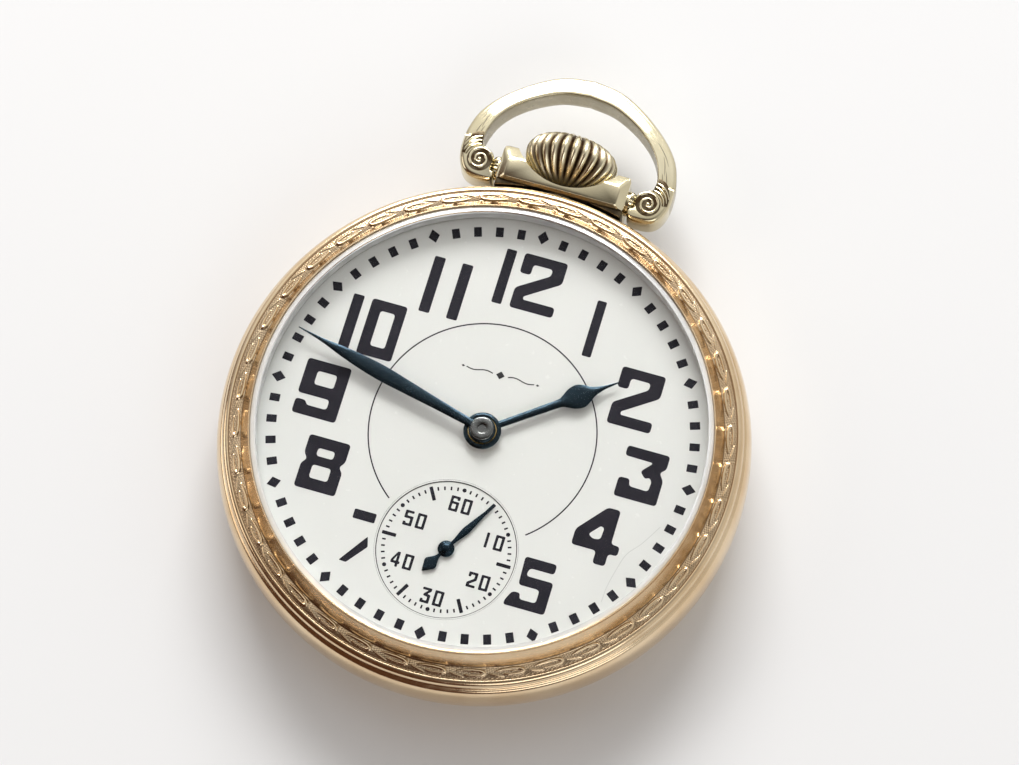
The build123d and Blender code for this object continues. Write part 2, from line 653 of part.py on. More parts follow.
plate_screws = screws([*BARREL_PILLARS, *TRAIN_PILLARS, COCK_FOOT], 1.5, 1.95, 0.95, 0.45, 7.6)
plate_screws.label = "plate_screws"
pallet_screw = screws([PALLET_FOOT], 4.0, 4.08, 0.75, 0.45, 7.2)
pallet_screw.label = "pallet_screw"
CASE_SCREW_PLACES = [(20.2 * cos(radians(a)), 20.2 * sin(radians(a))) for a in (75, -65)]
case_screws = screws(CASE_SCREW_PLACES, 5.55, 6.1, 1.6, 0.5, 7.55)
case_screws.label = "case_screws"

# ==================================================================== jewels

with BuildPart() as jewel_settings:
    for place, outer, inner in (
        (THIRD, 1.18, 0.72), (FOURTH, 1.18, 0.72), (ESCAPE, 1.18, 0.72), ((0, 0), 1.28, 0.9),
    ):
        with BuildSketch(Plane((place[0], place[1], 1.45))):
            Circle(outer)
            Circle(inner, mode=Mode.SUBTRACT)
        extrude(amount=1.15)
    with BuildSketch(Plane((BALANCE[0], BALANCE[1], 1.5))):
        Circle(0.93)
        Circle(0.6, mode=Mode.SUBTRACT)
    extrude(amount=1.0)
jewel_settings.part.label = "jewel_settings"

with BuildPart() as train_jewels:
    # upper jewels, in the settings of the train bridge and the cock
    for place, radius, bore, low, high in (
        (THIRD, 0.7, 0.16, 1.75, 2.4),
        (FOURTH, 0.7, 0.16, 1.75, 2.4),
        (ESCAPE, 0.7, 0.16, 1.75, 2.4),
        ((0, 0), 0.88, 0.32, 1.75, 2.4),
        (BALANCE, 0.58, 0.12, 1.7, 2.3),
    ):
        with BuildSketch(Plane((place[0], place[1], low))):
            Circle(radius)
            Circle(bore, mode=Mode.SUBTRACT)
        extrude(amount=high - low)
    # lower jewels, pressed in the main plate
    for place, radius, bore in (
        (THIRD, 0.78, 0.16),
        (FOURTH, 0.78, 0.3),
        (ESCAPE, 0.78, 0.16),
        (PALLET, 0.78, 0.16),
        (BALANCE, 0.78, 0.12),
        ((0, 0), 1.08, 0.72),
    ):
        with BuildSketch(Plane((place[0], place[1], 7.05))):
            Circle(radius)
            Circle(bore, mode=Mode.SUBTRACT)
        extrude(amount=0.55)
train_jewels.part.label = "train_jewels"

# ==================================================================== barrel

BARREL_TEETH = 72
BARREL_MODULE = 0.25
barrel_phase = direction(BARREL, (0, 0))
centre_pinion_phase = meshed(BARREL_TEETH, barrel_phase, 12, direction(BARREL, (0, 0)))

with BuildPart() as barrel:
    with BuildSketch(Plane((BARREL[0], BARREL[1], 5.4))):
        Polygon(*tooth_points(BARREL_TEETH, BARREL_MODULE, barrel_phase), align=None)
    extrude(amount=0.5)
    with BuildSketch(Plane((BARREL[0], BARREL[1], 4.15))):
        Circle(8.5)
    extrude(amount=1.5)
    with BuildSketch(Plane((BARREL[0], BARREL[1], 4.15))):
        Circle(8.1)
    extrude(amount=1.5, mode=Mode.SUBTRACT)
    with BuildSketch(Plane((BARREL[0], BARREL[1], 4.15))):
        Circle(1.05)
    extrude(amount=2.0, mode=Mode.SUBTRACT)
barrel.part.label = "barrel"

with BuildPart() as barrel_cover:
    with BuildSketch(Plane((BARREL[0], BARREL[1], 4.15))):
        Circle(8.08)
        Circle(1.05, mode=Mode.SUBTRACT)
        with Locations((6.9, 0)):
            Rectangle(1.6, 0.9, mode=Mode.SUBTRACT)
    extrude(amount=0.25)
barrel_cover.part.label = "barrel_cover"

barrel_arbor = arbor(
    BARREL,
    (
        (1.1, 2.0, 3.35),
        (0.93, 3.35, 4.12),
        (1.0, 4.12, 4.5),
        (1.9, 4.5, 5.55),
        (1.0, 5.55, 6.05),
        (1.2, 6.05, 7.6),
    ),
)
barrel_arbor.label = "barrel_arbor"
mainspring = spiral(BARREL, 2.45, 0.36, 15, 0.17, 4.5, 5.55)
mainspring.label = "mainspring"

# ==================================================================== train

third_heading = direction((0, 0), THIRD)
fourth_heading = direction(THIRD, FOURTH)
escape_heading = direction(FOURTH, ESCAPE)
centre_wheel = toothed(80, 0.17, (0, 0), 6.25, 6.55, third_heading, bore=0.62, rim=0.55, hub=1.8)
centre_wheel.label = "centre_wheel"
third_phase = meshed(80, third_heading, 10, third_heading)
third_wheel = toothed(75, 0.16, THIRD, 4.7, 4.95, fourth_heading, bore=0.42, rim=0.5)
third_wheel.label = "third_wheel"
fourth_phase = meshed(75, fourth_heading, 10, fourth_heading)
fourth_wheel = toothed(80, 0.13, FOURTH, 5.46, 5.76, escape_heading, bore=0.42, rim=0.5, hub=1.1)
fourth_wheel.label = "fourth_wheel"
escape_phase = meshed(80, escape_heading, 8, escape_heading)

with BuildPart() as centre_arbor:
    with BuildSketch(Plane.XY.offset(5.3)):
        Polygon(*tooth_points(12, BARREL_MODULE, centre_pinion_phase, 0.36), align=None)
    extrude(amount=0.78)
    for radius, low, high in ((0.3, 1.9, 2.75), (0.6, 2.75, 6.95), (0.68, 6.95, 7.7), (0.5, 7.7, 10.7)):
        with BuildSketch(Plane.XY.offset(low)):
            Circle(radius)
        extrude(amount=high - low)
centre_arbor.part.label = "centre_arbor"

with BuildPart() as third_pinion:
    with BuildSketch(Plane((THIRD[0], THIRD[1], 6.0))):
        Polygon(*tooth_points(10, 0.17, third_phase, 0.36), align=None)
    extrude(amount=0.78)
    for radius, low, high in ((0.14, 1.95, 2.75), (0.4, 2.75, 6.95), (0.14, 6.95, 7.5)):
        with BuildSketch(Plane((THIRD[0], THIRD[1], low))):
            Circle(radius)
        extrude(amount=high - low)
third_pinion.part.label = "third_pinion"

with BuildPart() as fourth_pinion:
    with BuildSketch(Plane((FOURTH[0], FOURTH[1], 4.55))):
        Polygon(*tooth_points(10, 0.16, fourth_phase, 0.36), align=None)
    extrude(amount=0.75)
    for radius, low, high in ((0.14, 1.95, 2.75), (0.4, 2.75, 6.95), (0.26, 6.95, 9.75)):
        with BuildSketch(Plane((FOURTH[0], FOURTH[1], low))):
            Circle(radius)
        extrude(amount=high - low)
fourth_pinion.part.label = "fourth_pinion"

with BuildPart() as escape_pinion:
    with BuildSketch(Plane((ESCAPE[0], ESCAPE[1], 5.38))):
        Polygon(*tooth_points(8, 0.13, escape_phase, 0.34), align=None)
    extrude(amount=0.55)
    for radius, low, high in ((0.14, 1.95, 2.75), (0.3, 2.75, 6.95), (0.14, 6.95, 7.5)):
        with BuildSketch(Plane((ESCAPE[0], ESCAPE[1], low))):
            Circle(radius)
        extrude(amount=high - low)
escape_pinion.part.label = "escape_pinion"

# club-tooth escape wheel: fifteen teeth leaning towards their direction of travel
ESCAPE_TEETH = 15
ESCAPE_RADIUS = 3.6
pallet_heading = direction(ESCAPE, PALLET)
with BuildPart() as escape_wheel:
    with BuildSketch(Plane((ESCAPE[0], ESCAPE[1], 4.6)).rotated((0, 0, pallet_heading + 36.0))):
        Circle(2.75)
        Circle(2.35, mode=Mode.SUBTRACT)
        with PolarLocations(0, 4):
            Rectangle(2.5, 0.36, align=(Align.MIN, Align.CENTER))
        Circle(0.7)
        with PolarLocations(0, ESCAPE_TEETH):
            Polygon(
                (2.6, -0.36), (2.6, 0.16), (3.42, 0.06), (3.59, 0.3), (3.59, 0.14), (3.3, -0.14),
                align=None,
            )
        Circle(0.31, mode=Mode.SUBTRACT)
    extrude(amount=0.16)
escape_wheel.part.label = "escape_wheel"

# ==================================================================== lever and balance

balance_heading = direction(PALLET, BALANCE)
with BuildPart() as pallet_fork:
    with BuildSketch(Plane((PALLET[0], PALLET[1], 4.56)).rotated((0, 0, balance_heading))):
        # lever with its slotted fork towards the balance
        Polygon(*mirrored([(0, 0.32), (3.3, 0.2), (3.55, 0.75), (3.95, 0.75)]), align=None)
        with Locations((3.9, 0)):
            Rectangle(0.7, 0.42, mode=Mode.SUBTRACT)
        # pallet arms reaching back round the escape wheel
        Polygon(*mirrored([(0.35, 0.2), (-0.55, 2.3), (-1.15, 2.2), (-0.45, 0.9)]), align=None)
        Circle(0.55)
    extrude(amount=0.3)
    for radius, low, high in ((0.13, 4.12, 4.5), (0.28, 4.5, 6.95), (0.13, 6.95, 7.5)):
        with BuildSketch(Plane((PALLET[0], PALLET[1], low))):
            Circle(radius)
        extrude(amount=high - low)
pallet_fork.part.label = "pallet_fork"

with BuildPart() as pallet_stones:
    with BuildSketch(Plane((PALLET[0], PALLET[1], 4.5)).rotated((0, 0, balance_heading))):
        for side in (1, -1):
            with Locations((-1.06, side * 2.02)):
                Rectangle(0.52, 0.24, rotation=side * 4.0)
    extrude(amount=0.42)
    add(pallet_fork.part, mode=Mode.SUBTRACT)
pallet_stones.part.label = "pallet_stones"

with BuildPart() as balance_wheel:
    with BuildSketch(Plane((BALANCE[0], BALANCE[1], 3.3))):
        Circle(BALANCE_RADIUS)
        Circle(BALANCE_RADIUS - 0.7, mode=Mode.SUBTRACT)
    extrude(amount=0.6)
    with BuildSketch(Plane((BALANCE[0], BALANCE[1], 3.42))):
        with PolarLocations(0, 2, start_angle=20):
            Rectangle(BALANCE_RADIUS - 0.3, 0.7, align=(Align.MIN, Align.CENTER))
        Circle(1.3)
    extrude(amount=0.3)
    # the rim is cut through near each arm so that it can bend with temperature
    with BuildSketch(Plane((BALANCE[0], BALANCE[1], 3.2))):
        with PolarLocations(BALANCE_RADIUS - 0.4, 2, start_angle=32):
            Rectangle(1.4, 0.16)
    extrude(amount=1.0, mode=Mode.SUBTRACT)
    with BuildSketch(Plane((BALANCE[0], BALANCE[1], 3.0))):
        Circle(0.36)
    extrude(amount=1.2, mode=Mode.SUBTRACT)
balance_wheel.part.label = "balance_wheel"

balance_staff = arbor(
    BALANCE, ((0.1, 1.8, 2.6), (0.3, 2.6, 2.76), (0.7, 2.76, 3.12), (0.34, 3.12, 6.9), (0.1, 6.9, 7.5))
)
balance_staff.label = "balance_staff"

with BuildPart() as balance_screws:
    for i in range(14):
        angle = 20 + 12 + 11.0 + (i % 7) * 22.5 + (180 if i > 6 else 0)
        heading = (cos(radians(angle)), sin(radians(angle)), 0)
        start = (BALANCE[0] + BALANCE_RADIUS * heading[0], BALANCE[1] + BALANCE_RADIUS * heading[1], 3.6)
        with BuildSketch(Plane(start, x_dir=(0, 0, 1), z_dir=heading)):
            Circle(0.24)
        extrude(amount=0.4)
    add(balance_wheel.part, mode=Mode.SUBTRACT)
balance_screws.part.label = "balance_screws"

with BuildPart() as roller:
    for radius, low, high in ((1.3, 4.02, 4.28), (0.62, 4.28, 4.5)):
        with BuildSketch(Plane((BALANCE[0], BALANCE[1], low))):
            Circle(radius)
            Circle(0.35, mode=Mode.SUBTRACT)
        extrude(amount=high - low)
roller.part.label = "roller"

# the roller jewel stands away from the fork: the balance is at the end of a free swing
with BuildPart() as roller_jewel:
    with BuildSketch(Plane((BALANCE[0], BALANCE[1], 4.28)).rotated((0, 0, balance_heading))):
        with Locations((1.05, 0)):
            Circle(0.17)
    extrude(amount=0.6)
roller_jewel.part.label = "roller_jewel"

hairspring = spiral(BALANCE, 0.86, 0.15, 16, 0.05, 2.84, 3.04, turn=0.0)
hairspring.label = "hairspring"

with BuildPart() as hairspring_stud:
    with BuildSketch(Plane((BALANCE[0] + 3.42, BALANCE[1] + 0.3, 2.5))):
        Rectangle(0.5, 0.5)
    extrude(amount=0.6)
    with BuildSketch(Plane((BALANCE[0] + 2.6, BALANCE[1] + 0.3, 2.5))):
        Rectangle(2.1, 0.5)
    extrude(amount=0.2)
hairspring_stud.part.label = "hairspring_stud"

with BuildPart() as regulator:
    with BuildSketch(Plane((BALANCE[0], BALANCE[1], 1.12)).rotated((0, 0, COCK_HEADING + 180))):
        Circle(1.7)
        Polygon((1.2, -0.6), (1.2, 0.6), (6.3, 0.1), (6.3, -0.1), align=None)
        Circle(1.0, mode=Mode.SUBTRACT)
    extrude(amount=0.3)
regulator.part.label = "regulator"

# ==================================================================== motion work and hands

MOTION_MODULE = 0.16
cannon_phase = 90.0
minute_phase = meshed(12, cannon_phase, 36, 90.0)
setting_phase = meshed(36, minute_phase, 24, 90.0)
yoke_phase = meshed(24, setting_phase, 24, 90.0)

with BuildPart() as cannon_pinion:
    with BuildSketch(Plane.XY.offset(7.86)):
        Polygon(*tooth_points(12, MOTION_MODULE, cannon_phase, 0.36), align=None)
    extrude(amount=0.32)
    with BuildSketch(Plane.XY.offset(7.86)):
        Circle(0.9)
    extrude(amount=2.9)
    # polished head that stands over the minute hand
    with BuildSketch(Plane.XY.offset(10.64)):
        Circle(1.12)
    extrude(amount=0.34)
    with BuildSketch(Plane.XY.offset(7.0)):
        Circle(0.54)
    extrude(amount=5.0, mode=Mode.SUBTRACT)
cannon_pinion.part.label = "cannon_pinion"

with BuildPart() as minute_wheel:
    with BuildSketch(Plane((MINUTE_WHEEL[0], MINUTE_WHEEL[1], 7.88))):
        Polygon(*tooth_points(36, MOTION_MODULE, minute_phase), align=None)
    extrude(amount=0.26)
    with BuildSketch(Plane((MINUTE_WHEEL[0], MINUTE_WHEEL[1], 8.14))):
        Polygon(*tooth_points(12, 0.8 * MOTION_MODULE, -90.0, 0.34), align=None)
    extrude(amount=0.44)
    with BuildSketch(Plane((MINUTE_WHEEL[0], MINUTE_WHEEL[1], 7.5))):
        Circle(0.53)
    extrude(amount=2.0, mode=Mode.SUBTRACT)
minute_wheel.part.label = "minute_wheel"

with BuildPart() as hour_wheel:
    with BuildSketch(Plane.XY.offset(8.25)):
        Polygon(*tooth_points(48, 0.8 * MOTION_MODULE, meshed(12, -90.0, 48, -90.0)), align=None)
    extrude(amount=0.25)
    with BuildSketch(Plane.XY.offset(8.25)):
        Circle(1.35)
    extrude(amount=2.0)
    with BuildSketch(Plane.XY.offset(8.0)):
        Circle(0.96)
    extrude(amount=3.0, mode=Mode.SUBTRACT)
hour_wheel.part.label = "hour_wheel"

setting_wheel = toothed(24, MOTION_MODULE, SETTING_WHEEL, 7.88, 8.14, setting_phase, bore=0.53)
setting_wheel.label = "setting_wheel"
yoke_wheel = toothed(24, MOTION_MODULE, YOKE_WHEEL, 7.88, 8.14, yoke_phase, bore=0.53)
yoke_wheel.label = "yoke_wheel"

with BuildPart() as dial:
    with BuildSketch(Plane.XY.offset(PLATE_HIGH)):
        Circle(DIAL_RADIUS)
    extrude(amount=DIAL_FACE - PLATE_HIGH)
    # sunk seconds dial
    with BuildSketch(Plane((FOURTH[0], FOURTH[1], DIAL_FACE - 0.12))):
        Circle(6.66)
    extrude(amount=1.0, mode=Mode.SUBTRACT)
    with BuildSketch(Plane.XY.offset(8.0)):
        Circle(1.55)
        with Locations(FOURTH):
            Circle(0.5)
    extrude(amount=3.0, mode=Mode.SUBTRACT)
    for angle in (20, 200):
        with BuildSketch(Plane((19.5 * cos(radians(angle)), 19.5 * sin(radians(angle)), 7.95))):
            Circle(0.5)
        extrude(amount=0.8)
dial.part.label = "dial"

with BuildPart() as hour_hand:
    with BuildSketch(Plane.XY.offset(9.98).rotated((0, 0, from_twelve(HOUR_ANGLE)))):
        Circle(1.8)
        Polygon(*mirrored(HOUR_SPADE), align=None)
        Circle(1.37, mode=Mode.SUBTRACT)
    extrude(amount=0.2)
hour_hand.part.label = "hour_hand"

with BuildPart() as minute_hand:
    with BuildSketch(Plane.XY.offset(10.42).rotated((0, 0, from_twelve(MINUTE_ANGLE)))):
        Circle(1.35)
        Polygon(*mirrored(MINUTE_LEAF), align=None)
        Circle(0.92, mode=Mode.SUBTRACT)
    extrude(amount=0.2)
minute_hand.part.label = "minute_hand"

with BuildPart() as seconds_hand:
    with BuildSketch(Plane((FOURTH[0], FOURTH[1], 9.5)).rotated((0, 0, from_twelve(SECONDS_ANGLE)))):
        Circle(0.8)
        Polygon(*mirrored(SECONDS_LEAF), align=None)
        Polygon(*mirrored(SECONDS_TAIL), align=None)
        Circle(0.28, mode=Mode.SUBTRACT)
    extrude(amount=0.16)
seconds_hand.part.label = "seconds_hand"

# ==================================================================== export

for piece in (
    case_center.part, pendant.part, pendant_sleeve.part, bezel.part, crystal.part, case_back.part,
    bow.part, bow_screws.part, crown.part, crown_core.part, winding_stem.part, winding_arbor.part,
    winding_pinion.part, clutch_wheel.part, crown_wheel, ratchet_wheel, crown_wheel_stud.part,
    click.part, click_spring.part, main_plate.part, barrel_bridge.part, train_bridge.part,
    balance_cock.part, pallet_bridge.part, plate_screws, pallet_screw, case_screws,
    jewel_settings.part, train_jewels.part, barrel.part, barrel_cover.part, barrel_arbor, mainspring,
    centre_wheel, third_wheel, fourth_wheel, centre_arbor.part, third_pinion.part,
    fourth_pinion.part, escape_pinion.part, escape_wheel.part, pallet_fork.part,
    pallet_stones.part, balance_wheel.part, balance_staff, balance_screws.part, roller.part,
    roller_jewel.part, hairspring, hairspring_stud.part, regulator.part, cannon_pinion.part,
    minute_wheel.part, hour_wheel.part, setting_wheel, yoke_wheel, dial.part, hour_hand.part,
    minute_hand.part, seconds_hand.part,
):
    export_step(piece, f"parts/{piece.label}.step")
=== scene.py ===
"""Looks of the open-face pocket watch: chased bezel, swivel bow, ribbed crown, enamel dial, blued hands."""

import json
import math

import bpy
import numpy as np
from mathutils import Matrix, Vector


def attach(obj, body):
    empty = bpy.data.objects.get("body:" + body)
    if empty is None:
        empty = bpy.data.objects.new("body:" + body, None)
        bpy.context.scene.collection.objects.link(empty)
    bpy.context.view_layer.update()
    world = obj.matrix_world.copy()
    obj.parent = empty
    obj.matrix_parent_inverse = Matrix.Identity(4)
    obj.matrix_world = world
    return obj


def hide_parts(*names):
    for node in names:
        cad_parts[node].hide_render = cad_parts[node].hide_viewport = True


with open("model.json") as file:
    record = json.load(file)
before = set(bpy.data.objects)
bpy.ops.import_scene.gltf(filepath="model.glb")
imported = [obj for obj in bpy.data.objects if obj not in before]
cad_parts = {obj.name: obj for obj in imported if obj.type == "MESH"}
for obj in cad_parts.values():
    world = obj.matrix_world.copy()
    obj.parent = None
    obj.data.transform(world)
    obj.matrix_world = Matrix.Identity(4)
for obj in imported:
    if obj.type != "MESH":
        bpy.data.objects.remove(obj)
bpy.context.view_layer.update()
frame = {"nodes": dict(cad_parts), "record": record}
MM = 0.001
TAU = 2 * math.pi
MID = 6.0  # height of the middle of the case, and of the pendant and bow
DIAL = 9.4  # height of the dial's face


# ------------------------------------------------------------------ meshes

def place_piece(name, mesh, material, body, replaces=()):
    """An object that wears one material and rides on a body."""
    mesh.materials.clear()
    mesh.materials.append(material)
    piece = bpy.data.objects.new(name, mesh)
    bpy.context.scene.collection.objects.link(piece)
    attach(piece, body)
    if replaces:
        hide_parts(*replaces)


def mesh_piece(name, verts, faces, material, body, replaces, cav, sharp):
    """A mesh from vertices in millimetres; its darkening value is 1 in recesses with patina and where shade
    is painted, and 0 on worn high spots.
    """
    mesh = bpy.data.meshes.new(name)
    verts = np.asarray(verts, dtype=np.float64) * MM
    mesh.from_pydata(verts.tolist(), [], [tuple(int(i) for i in f) for f in faces])
    mesh.update()
    mesh.polygons.foreach_set("use_smooth", [True] * len(mesh.polygons))
    mesh.set_sharp_from_angle(angle=math.radians(sharp))
    layer = mesh.attributes.new("cav", "FLOAT", "POINT")
    layer.data.foreach_set("value", np.asarray(cav, dtype=np.float32).ravel())
    place_piece(name, mesh, material, body, replaces)


def grid_faces(rows, columns, wrap_rows, wrap_columns):
    """Four-cornered faces between neighbours in a grid of points."""
    r = np.arange(rows if wrap_rows else rows - 1)
    c = np.arange(columns if wrap_columns else columns - 1)
    a = (r[:, None] * columns + c[None, :]).ravel()
    b = (r[:, None] * columns + (c[None, :] + 1) % columns).ravel()
    d = (((r[:, None] + 1) % rows) * columns + c[None, :]).ravel()
    e = (((r[:, None] + 1) % rows) * columns + (c[None, :] + 1) % columns).ravel()
    return np.stack([a, b, e, d], 1)


class Shape:
    """Collects several closed shells into one mesh."""

    def __init__(self):
        self.verts, self.faces, self.cav, self.count = [], [], [], 0

    def add(self, verts, faces, cav=0.0):
        verts = np.asarray(verts, dtype=np.float64).reshape(-1, 3)
        self.verts.append(verts)
        self.faces += [tuple(int(i) + self.count for i in f) for f in faces]
        self.cav.append(np.broadcast_to(np.asarray(cav, float).ravel(), (len(verts),)))
        self.count += len(verts)

    def grid(self, points, wrap_rows=False, wrap_columns=False, caps=False, cav=0.0):
        rows, columns = points.shape[:2]
        faces = [tuple(f) for f in grid_faces(rows, columns, wrap_rows, wrap_columns)]
        if caps:
            faces.append(tuple(range(columns))[::-1])
            faces.append(tuple((rows - 1) * columns + i for i in range(columns)))
        self.add(points, faces, cav)

    def turned(self, profile, columns, centre=(0.0, 0.0), closed=True, cav=0.0):
        self.grid(lathe_z(profile, columns, centre), wrap_rows=closed, wrap_columns=True, cav=cav)

    def make(self, name, material, body, slot, replaces=(), sharp=35.0):
        verts, cav = np.concatenate(self.verts), np.concatenate(self.cav)
        mesh_piece(name, verts, self.faces, material, body, replaces, cav, sharp)


def lathe_z(profile, columns, centre=(0.0, 0.0)):
    """Points of a profile [(r, z)] turned about Z."""
    p = np.asarray(profile, float)
    t = np.arange(columns) * TAU / columns
    x = centre[0] + p[:, None, 0] * np.cos(t)
    y = centre[1] + p[:, None, 0] * np.sin(t)
    return np.stack([x, y, np.broadcast_to(p[:, None, 1], x.shape)], -1)


def smooth_line(points, steps):
    """Catmull-Rom samples through the points."""
    p = np.asarray(points, float)
    ext = np.vstack([2 * p[0] - p[1], p, 2 * p[-1] - p[-2]])
    out = []
    for i in range(1, len(ext) - 2):
        a, b, c, d = ext[i - 1], ext[i], ext[i + 1], ext[i + 2]
        for s in np.arange(steps) / steps:
            square = (2 * a - 5 * b + 4 * c - d) * s * s
            cube = (3 * b - a - 3 * c + d) * s ** 3
            out.append(0.5 * (2 * b + (c - a) * s + square + cube))
    out.append(p[-1])
    return np.array(out)


def tube(points, radius, sides=10, normal=(0.0, 0.0, 1.0), flat=1.0):
    """A tapering round bead along a path; flat squashes it along the normal."""
    p = np.asarray(points, float)
    radius = np.broadcast_to(np.asarray(radius, float), (len(p),))
    tangent = np.gradient(p, axis=0)
    tangent /= np.linalg.norm(tangent, axis=1)[:, None]
    up = np.asarray(normal, float)
    side = np.cross(up, tangent)
    side /= np.linalg.norm(side, axis=1)[:, None]
    t = np.arange(sides) * TAU / sides
    return (
        p[:, None]
        + side[:, None] * (np.cos(t)[None, :, None] * radius[:, None, None])
        + up[None, None] * (np.sin(t)[None, :, None] * radius[:, None, None] * flat)
    )


def rounded(points, radius, steps=4):
    """A closed outline with its corners rounded."""
    p = [np.asarray(q, float) for q in points]
    out = []
    for i, here in enumerate(p):
        before, after = p[i - 1], p[(i + 1) % len(p)]
        la, lb = np.linalg.norm(before - here), np.linalg.norm(after - here)
        cut = min(radius, 0.45 * la, 0.45 * lb)
        a, b = here + (before - here) * cut / la, here + (after - here) * cut / lb
        for s in np.linspace(0, 1, steps + 1):
            out.append((1 - s) ** 2 * a + 2 * s * (1 - s) * here + s * s * b)
    return np.array(out)


def prism(shape, outline, low, high, bevel=0.0, steps=4, cav=0.0):
    """A closed solid from an outline in XY with rounded edges; bevel may differ from point to point."""
    p = np.asarray(outline, float)
    bevel = np.broadcast_to(np.asarray(bevel, float), (len(p),))
    area = 0.5 * np.sum(p[:, 0] * np.roll(p[:, 1], -1) - np.roll(p[:, 0], -1) * p[:, 1])
    if area < 0:
        p, bevel = p[::-1], bevel[::-1]
    d = np.roll(p, -1, 0) - np.roll(p, 1, 0)
    d /= np.linalg.norm(d, axis=1)[:, None] + 1e-12
    inward = np.stack([-d[:, 1], d[:, 0]], 1)
    depth = min(float(bevel.max()), (high - low) / 2)
    rows = []
    for s in np.linspace(0, math.pi / 2, steps + 1):
        rows.append((p + inward * bevel[:, None] * (1 - math.sin(s)), low + depth * (1 - math.cos(s))))
    for s in np.linspace(math.pi / 2, 0, steps + 1):
        rows.append((p + inward * bevel[:, None] * (1 - math.sin(s)), high - depth * (1 - math.cos(s))))
    pts = np.array([np.column_stack([q, np.full(len(q), z)]) for q, z in rows])
    shape.grid(pts, wrap_columns=True, caps=True, cav=cav)


# ------------------------------------------------------------------ materials

def nodes_of(name):
    """A new material with one principled shader."""
    material = bpy.data.materials.new(name)
    material.use_nodes = True
    tree = material.node_tree
    tree.nodes.clear()
    out = tree.nodes.new("ShaderNodeOutputMaterial")
    bsdf = tree.nodes.new("ShaderNodeBsdfPrincipled")
    tree.links.new(bsdf.outputs[0], out.inputs[0])
    return material, tree, bsdf


def texture(tree, scale, detail=4.0, rough=0.55, stretch=None):
    """Noise in the object's own metres."""
    coords = tree.nodes.new("ShaderNodeTexCoord")
    source = coords.outputs["Object"]
    if stretch is not None:
        mapping = tree.nodes.new("ShaderNodeMapping")
        mapping.inputs["Scale"].default_value = stretch
        tree.links.new(source, mapping.inputs[0])
        source = mapping.outputs[0]
    node = tree.nodes.new("ShaderNodeTexNoise")
    node.inputs["Detail"].default_value = detail
    node.inputs["Roughness"].default_value = rough
    node.inputs["Scale"].default_value = scale
    tree.links.new(source, node.inputs["Vector"])
    return node.outputs[0]


def ramp(tree, source, stops):
    node = tree.nodes.new("ShaderNodeValToRGB")
    while len(node.color_ramp.elements) < len(stops):
        node.color_ramp.elements.new(0.5)
    for element, (place, value) in zip(node.color_ramp.elements, stops):
        element.position = place
        element.color = (*value, 1.0) if isinstance(value, tuple) else (value, value, value, 1.0)
    tree.links.new(source, node.inputs[0])
    return node.outputs[0]


def feed(tree, socket, value):
    """Joins a socket to another one, or sets it to a colour or a number."""
    if hasattr(value, "is_linked"):
        tree.links.new(value, socket)
    else:
        socket.default_value = (*value, 1.0) if isinstance(value, tuple) else value


def mix(tree, factor, a, b):
    node = tree.nodes.new("ShaderNodeMix")
    node.data_type = "RGBA"
    for socket, value in ((node.inputs[0], factor), (node.inputs[6], a), (node.inputs[7], b)):
        feed(tree, socket, value)
    return node.outputs[2]


def math_node(tree, op, a, b):
    node = tree.nodes.new("ShaderNodeMath")
    node.operation = op
    feed(tree, node.inputs[0], a)
    feed(tree, node.inputs[1], b)
    return node.outputs[0]


def bump(tree, bsdf, height, strength, depth_mm):
    node = tree.nodes.new("ShaderNodeBump")
    node.inputs["Strength"].default_value = strength
    node.inputs["Distance"].default_value = depth_mm * MM
    tree.links.new(height, node.inputs["Height"])
    tree.links.new(node.outputs[0], bsdf.inputs["Normal"])


def metal(name, colour, dark, rough, grain, patina_and_shade_colour=None):
    """Polished, slightly worn metal. dark tints the blotches; the brown darkening colour fills recesses as
    patina, and is painted shade where the mesh's darkening value marks shaded faces.
    """
    material, tree, bsdf = nodes_of(name)
    bsdf.inputs["Metallic"].default_value = 1.0
    blotch = texture(tree, 160.0, 5.0)
    fine = texture(tree, 900.0, 6.0, 0.65)
    base = mix(tree, ramp(tree, blotch, [(0.35, 0.0), (0.7, 1.0)]), colour, dark)
    roughness = ramp(tree, fine, [(0.3, rough[0]), (0.75, rough[1])])
    if patina_and_shade_colour is not None:
        # the darkening attribute carries both real patina in recesses and painted shade on some faces
        attribute = tree.nodes.new("ShaderNodeAttribute")
        attribute.attribute_name = "cav"
        patina_and_shade_mask = attribute.outputs["Fac"]
        stain_and_shade = math_node(tree, "MULTIPLY", patina_and_shade_mask, ramp(tree, fine, [(0.25, 0.82), (0.55, 1.0)]))
        base = mix(tree, stain_and_shade, base, patina_and_shade_colour)
        roughness = math_node(tree, "ADD", roughness, math_node(tree, "MULTIPLY", patina_and_shade_mask, 0.25))
    tree.links.new(base, bsdf.inputs["Base Color"])
    tree.links.new(roughness, bsdf.inputs["Roughness"])
    scratches = texture(tree, 260.0, 8.0, 0.7, stretch=(1.0, 7.0, 1.0))
    bump(tree, bsdf, math_node(tree, "ADD", fine, math_node(tree, "MULTIPLY", scratches, 0.6)), 0.35, grain)
    return material


case_gold = metal("case_gold", (0.80, 0.635, 0.43), (0.68, 0.49, 0.29), (0.12, 0.24), 0.012,
                  (0.15, 0.078, 0.032))
pale_gold = metal("pale_gold", (0.80, 0.725, 0.52), (0.68, 0.59, 0.38), (0.09, 0.20), 0.010,
                  (0.04, 0.024, 0.011))
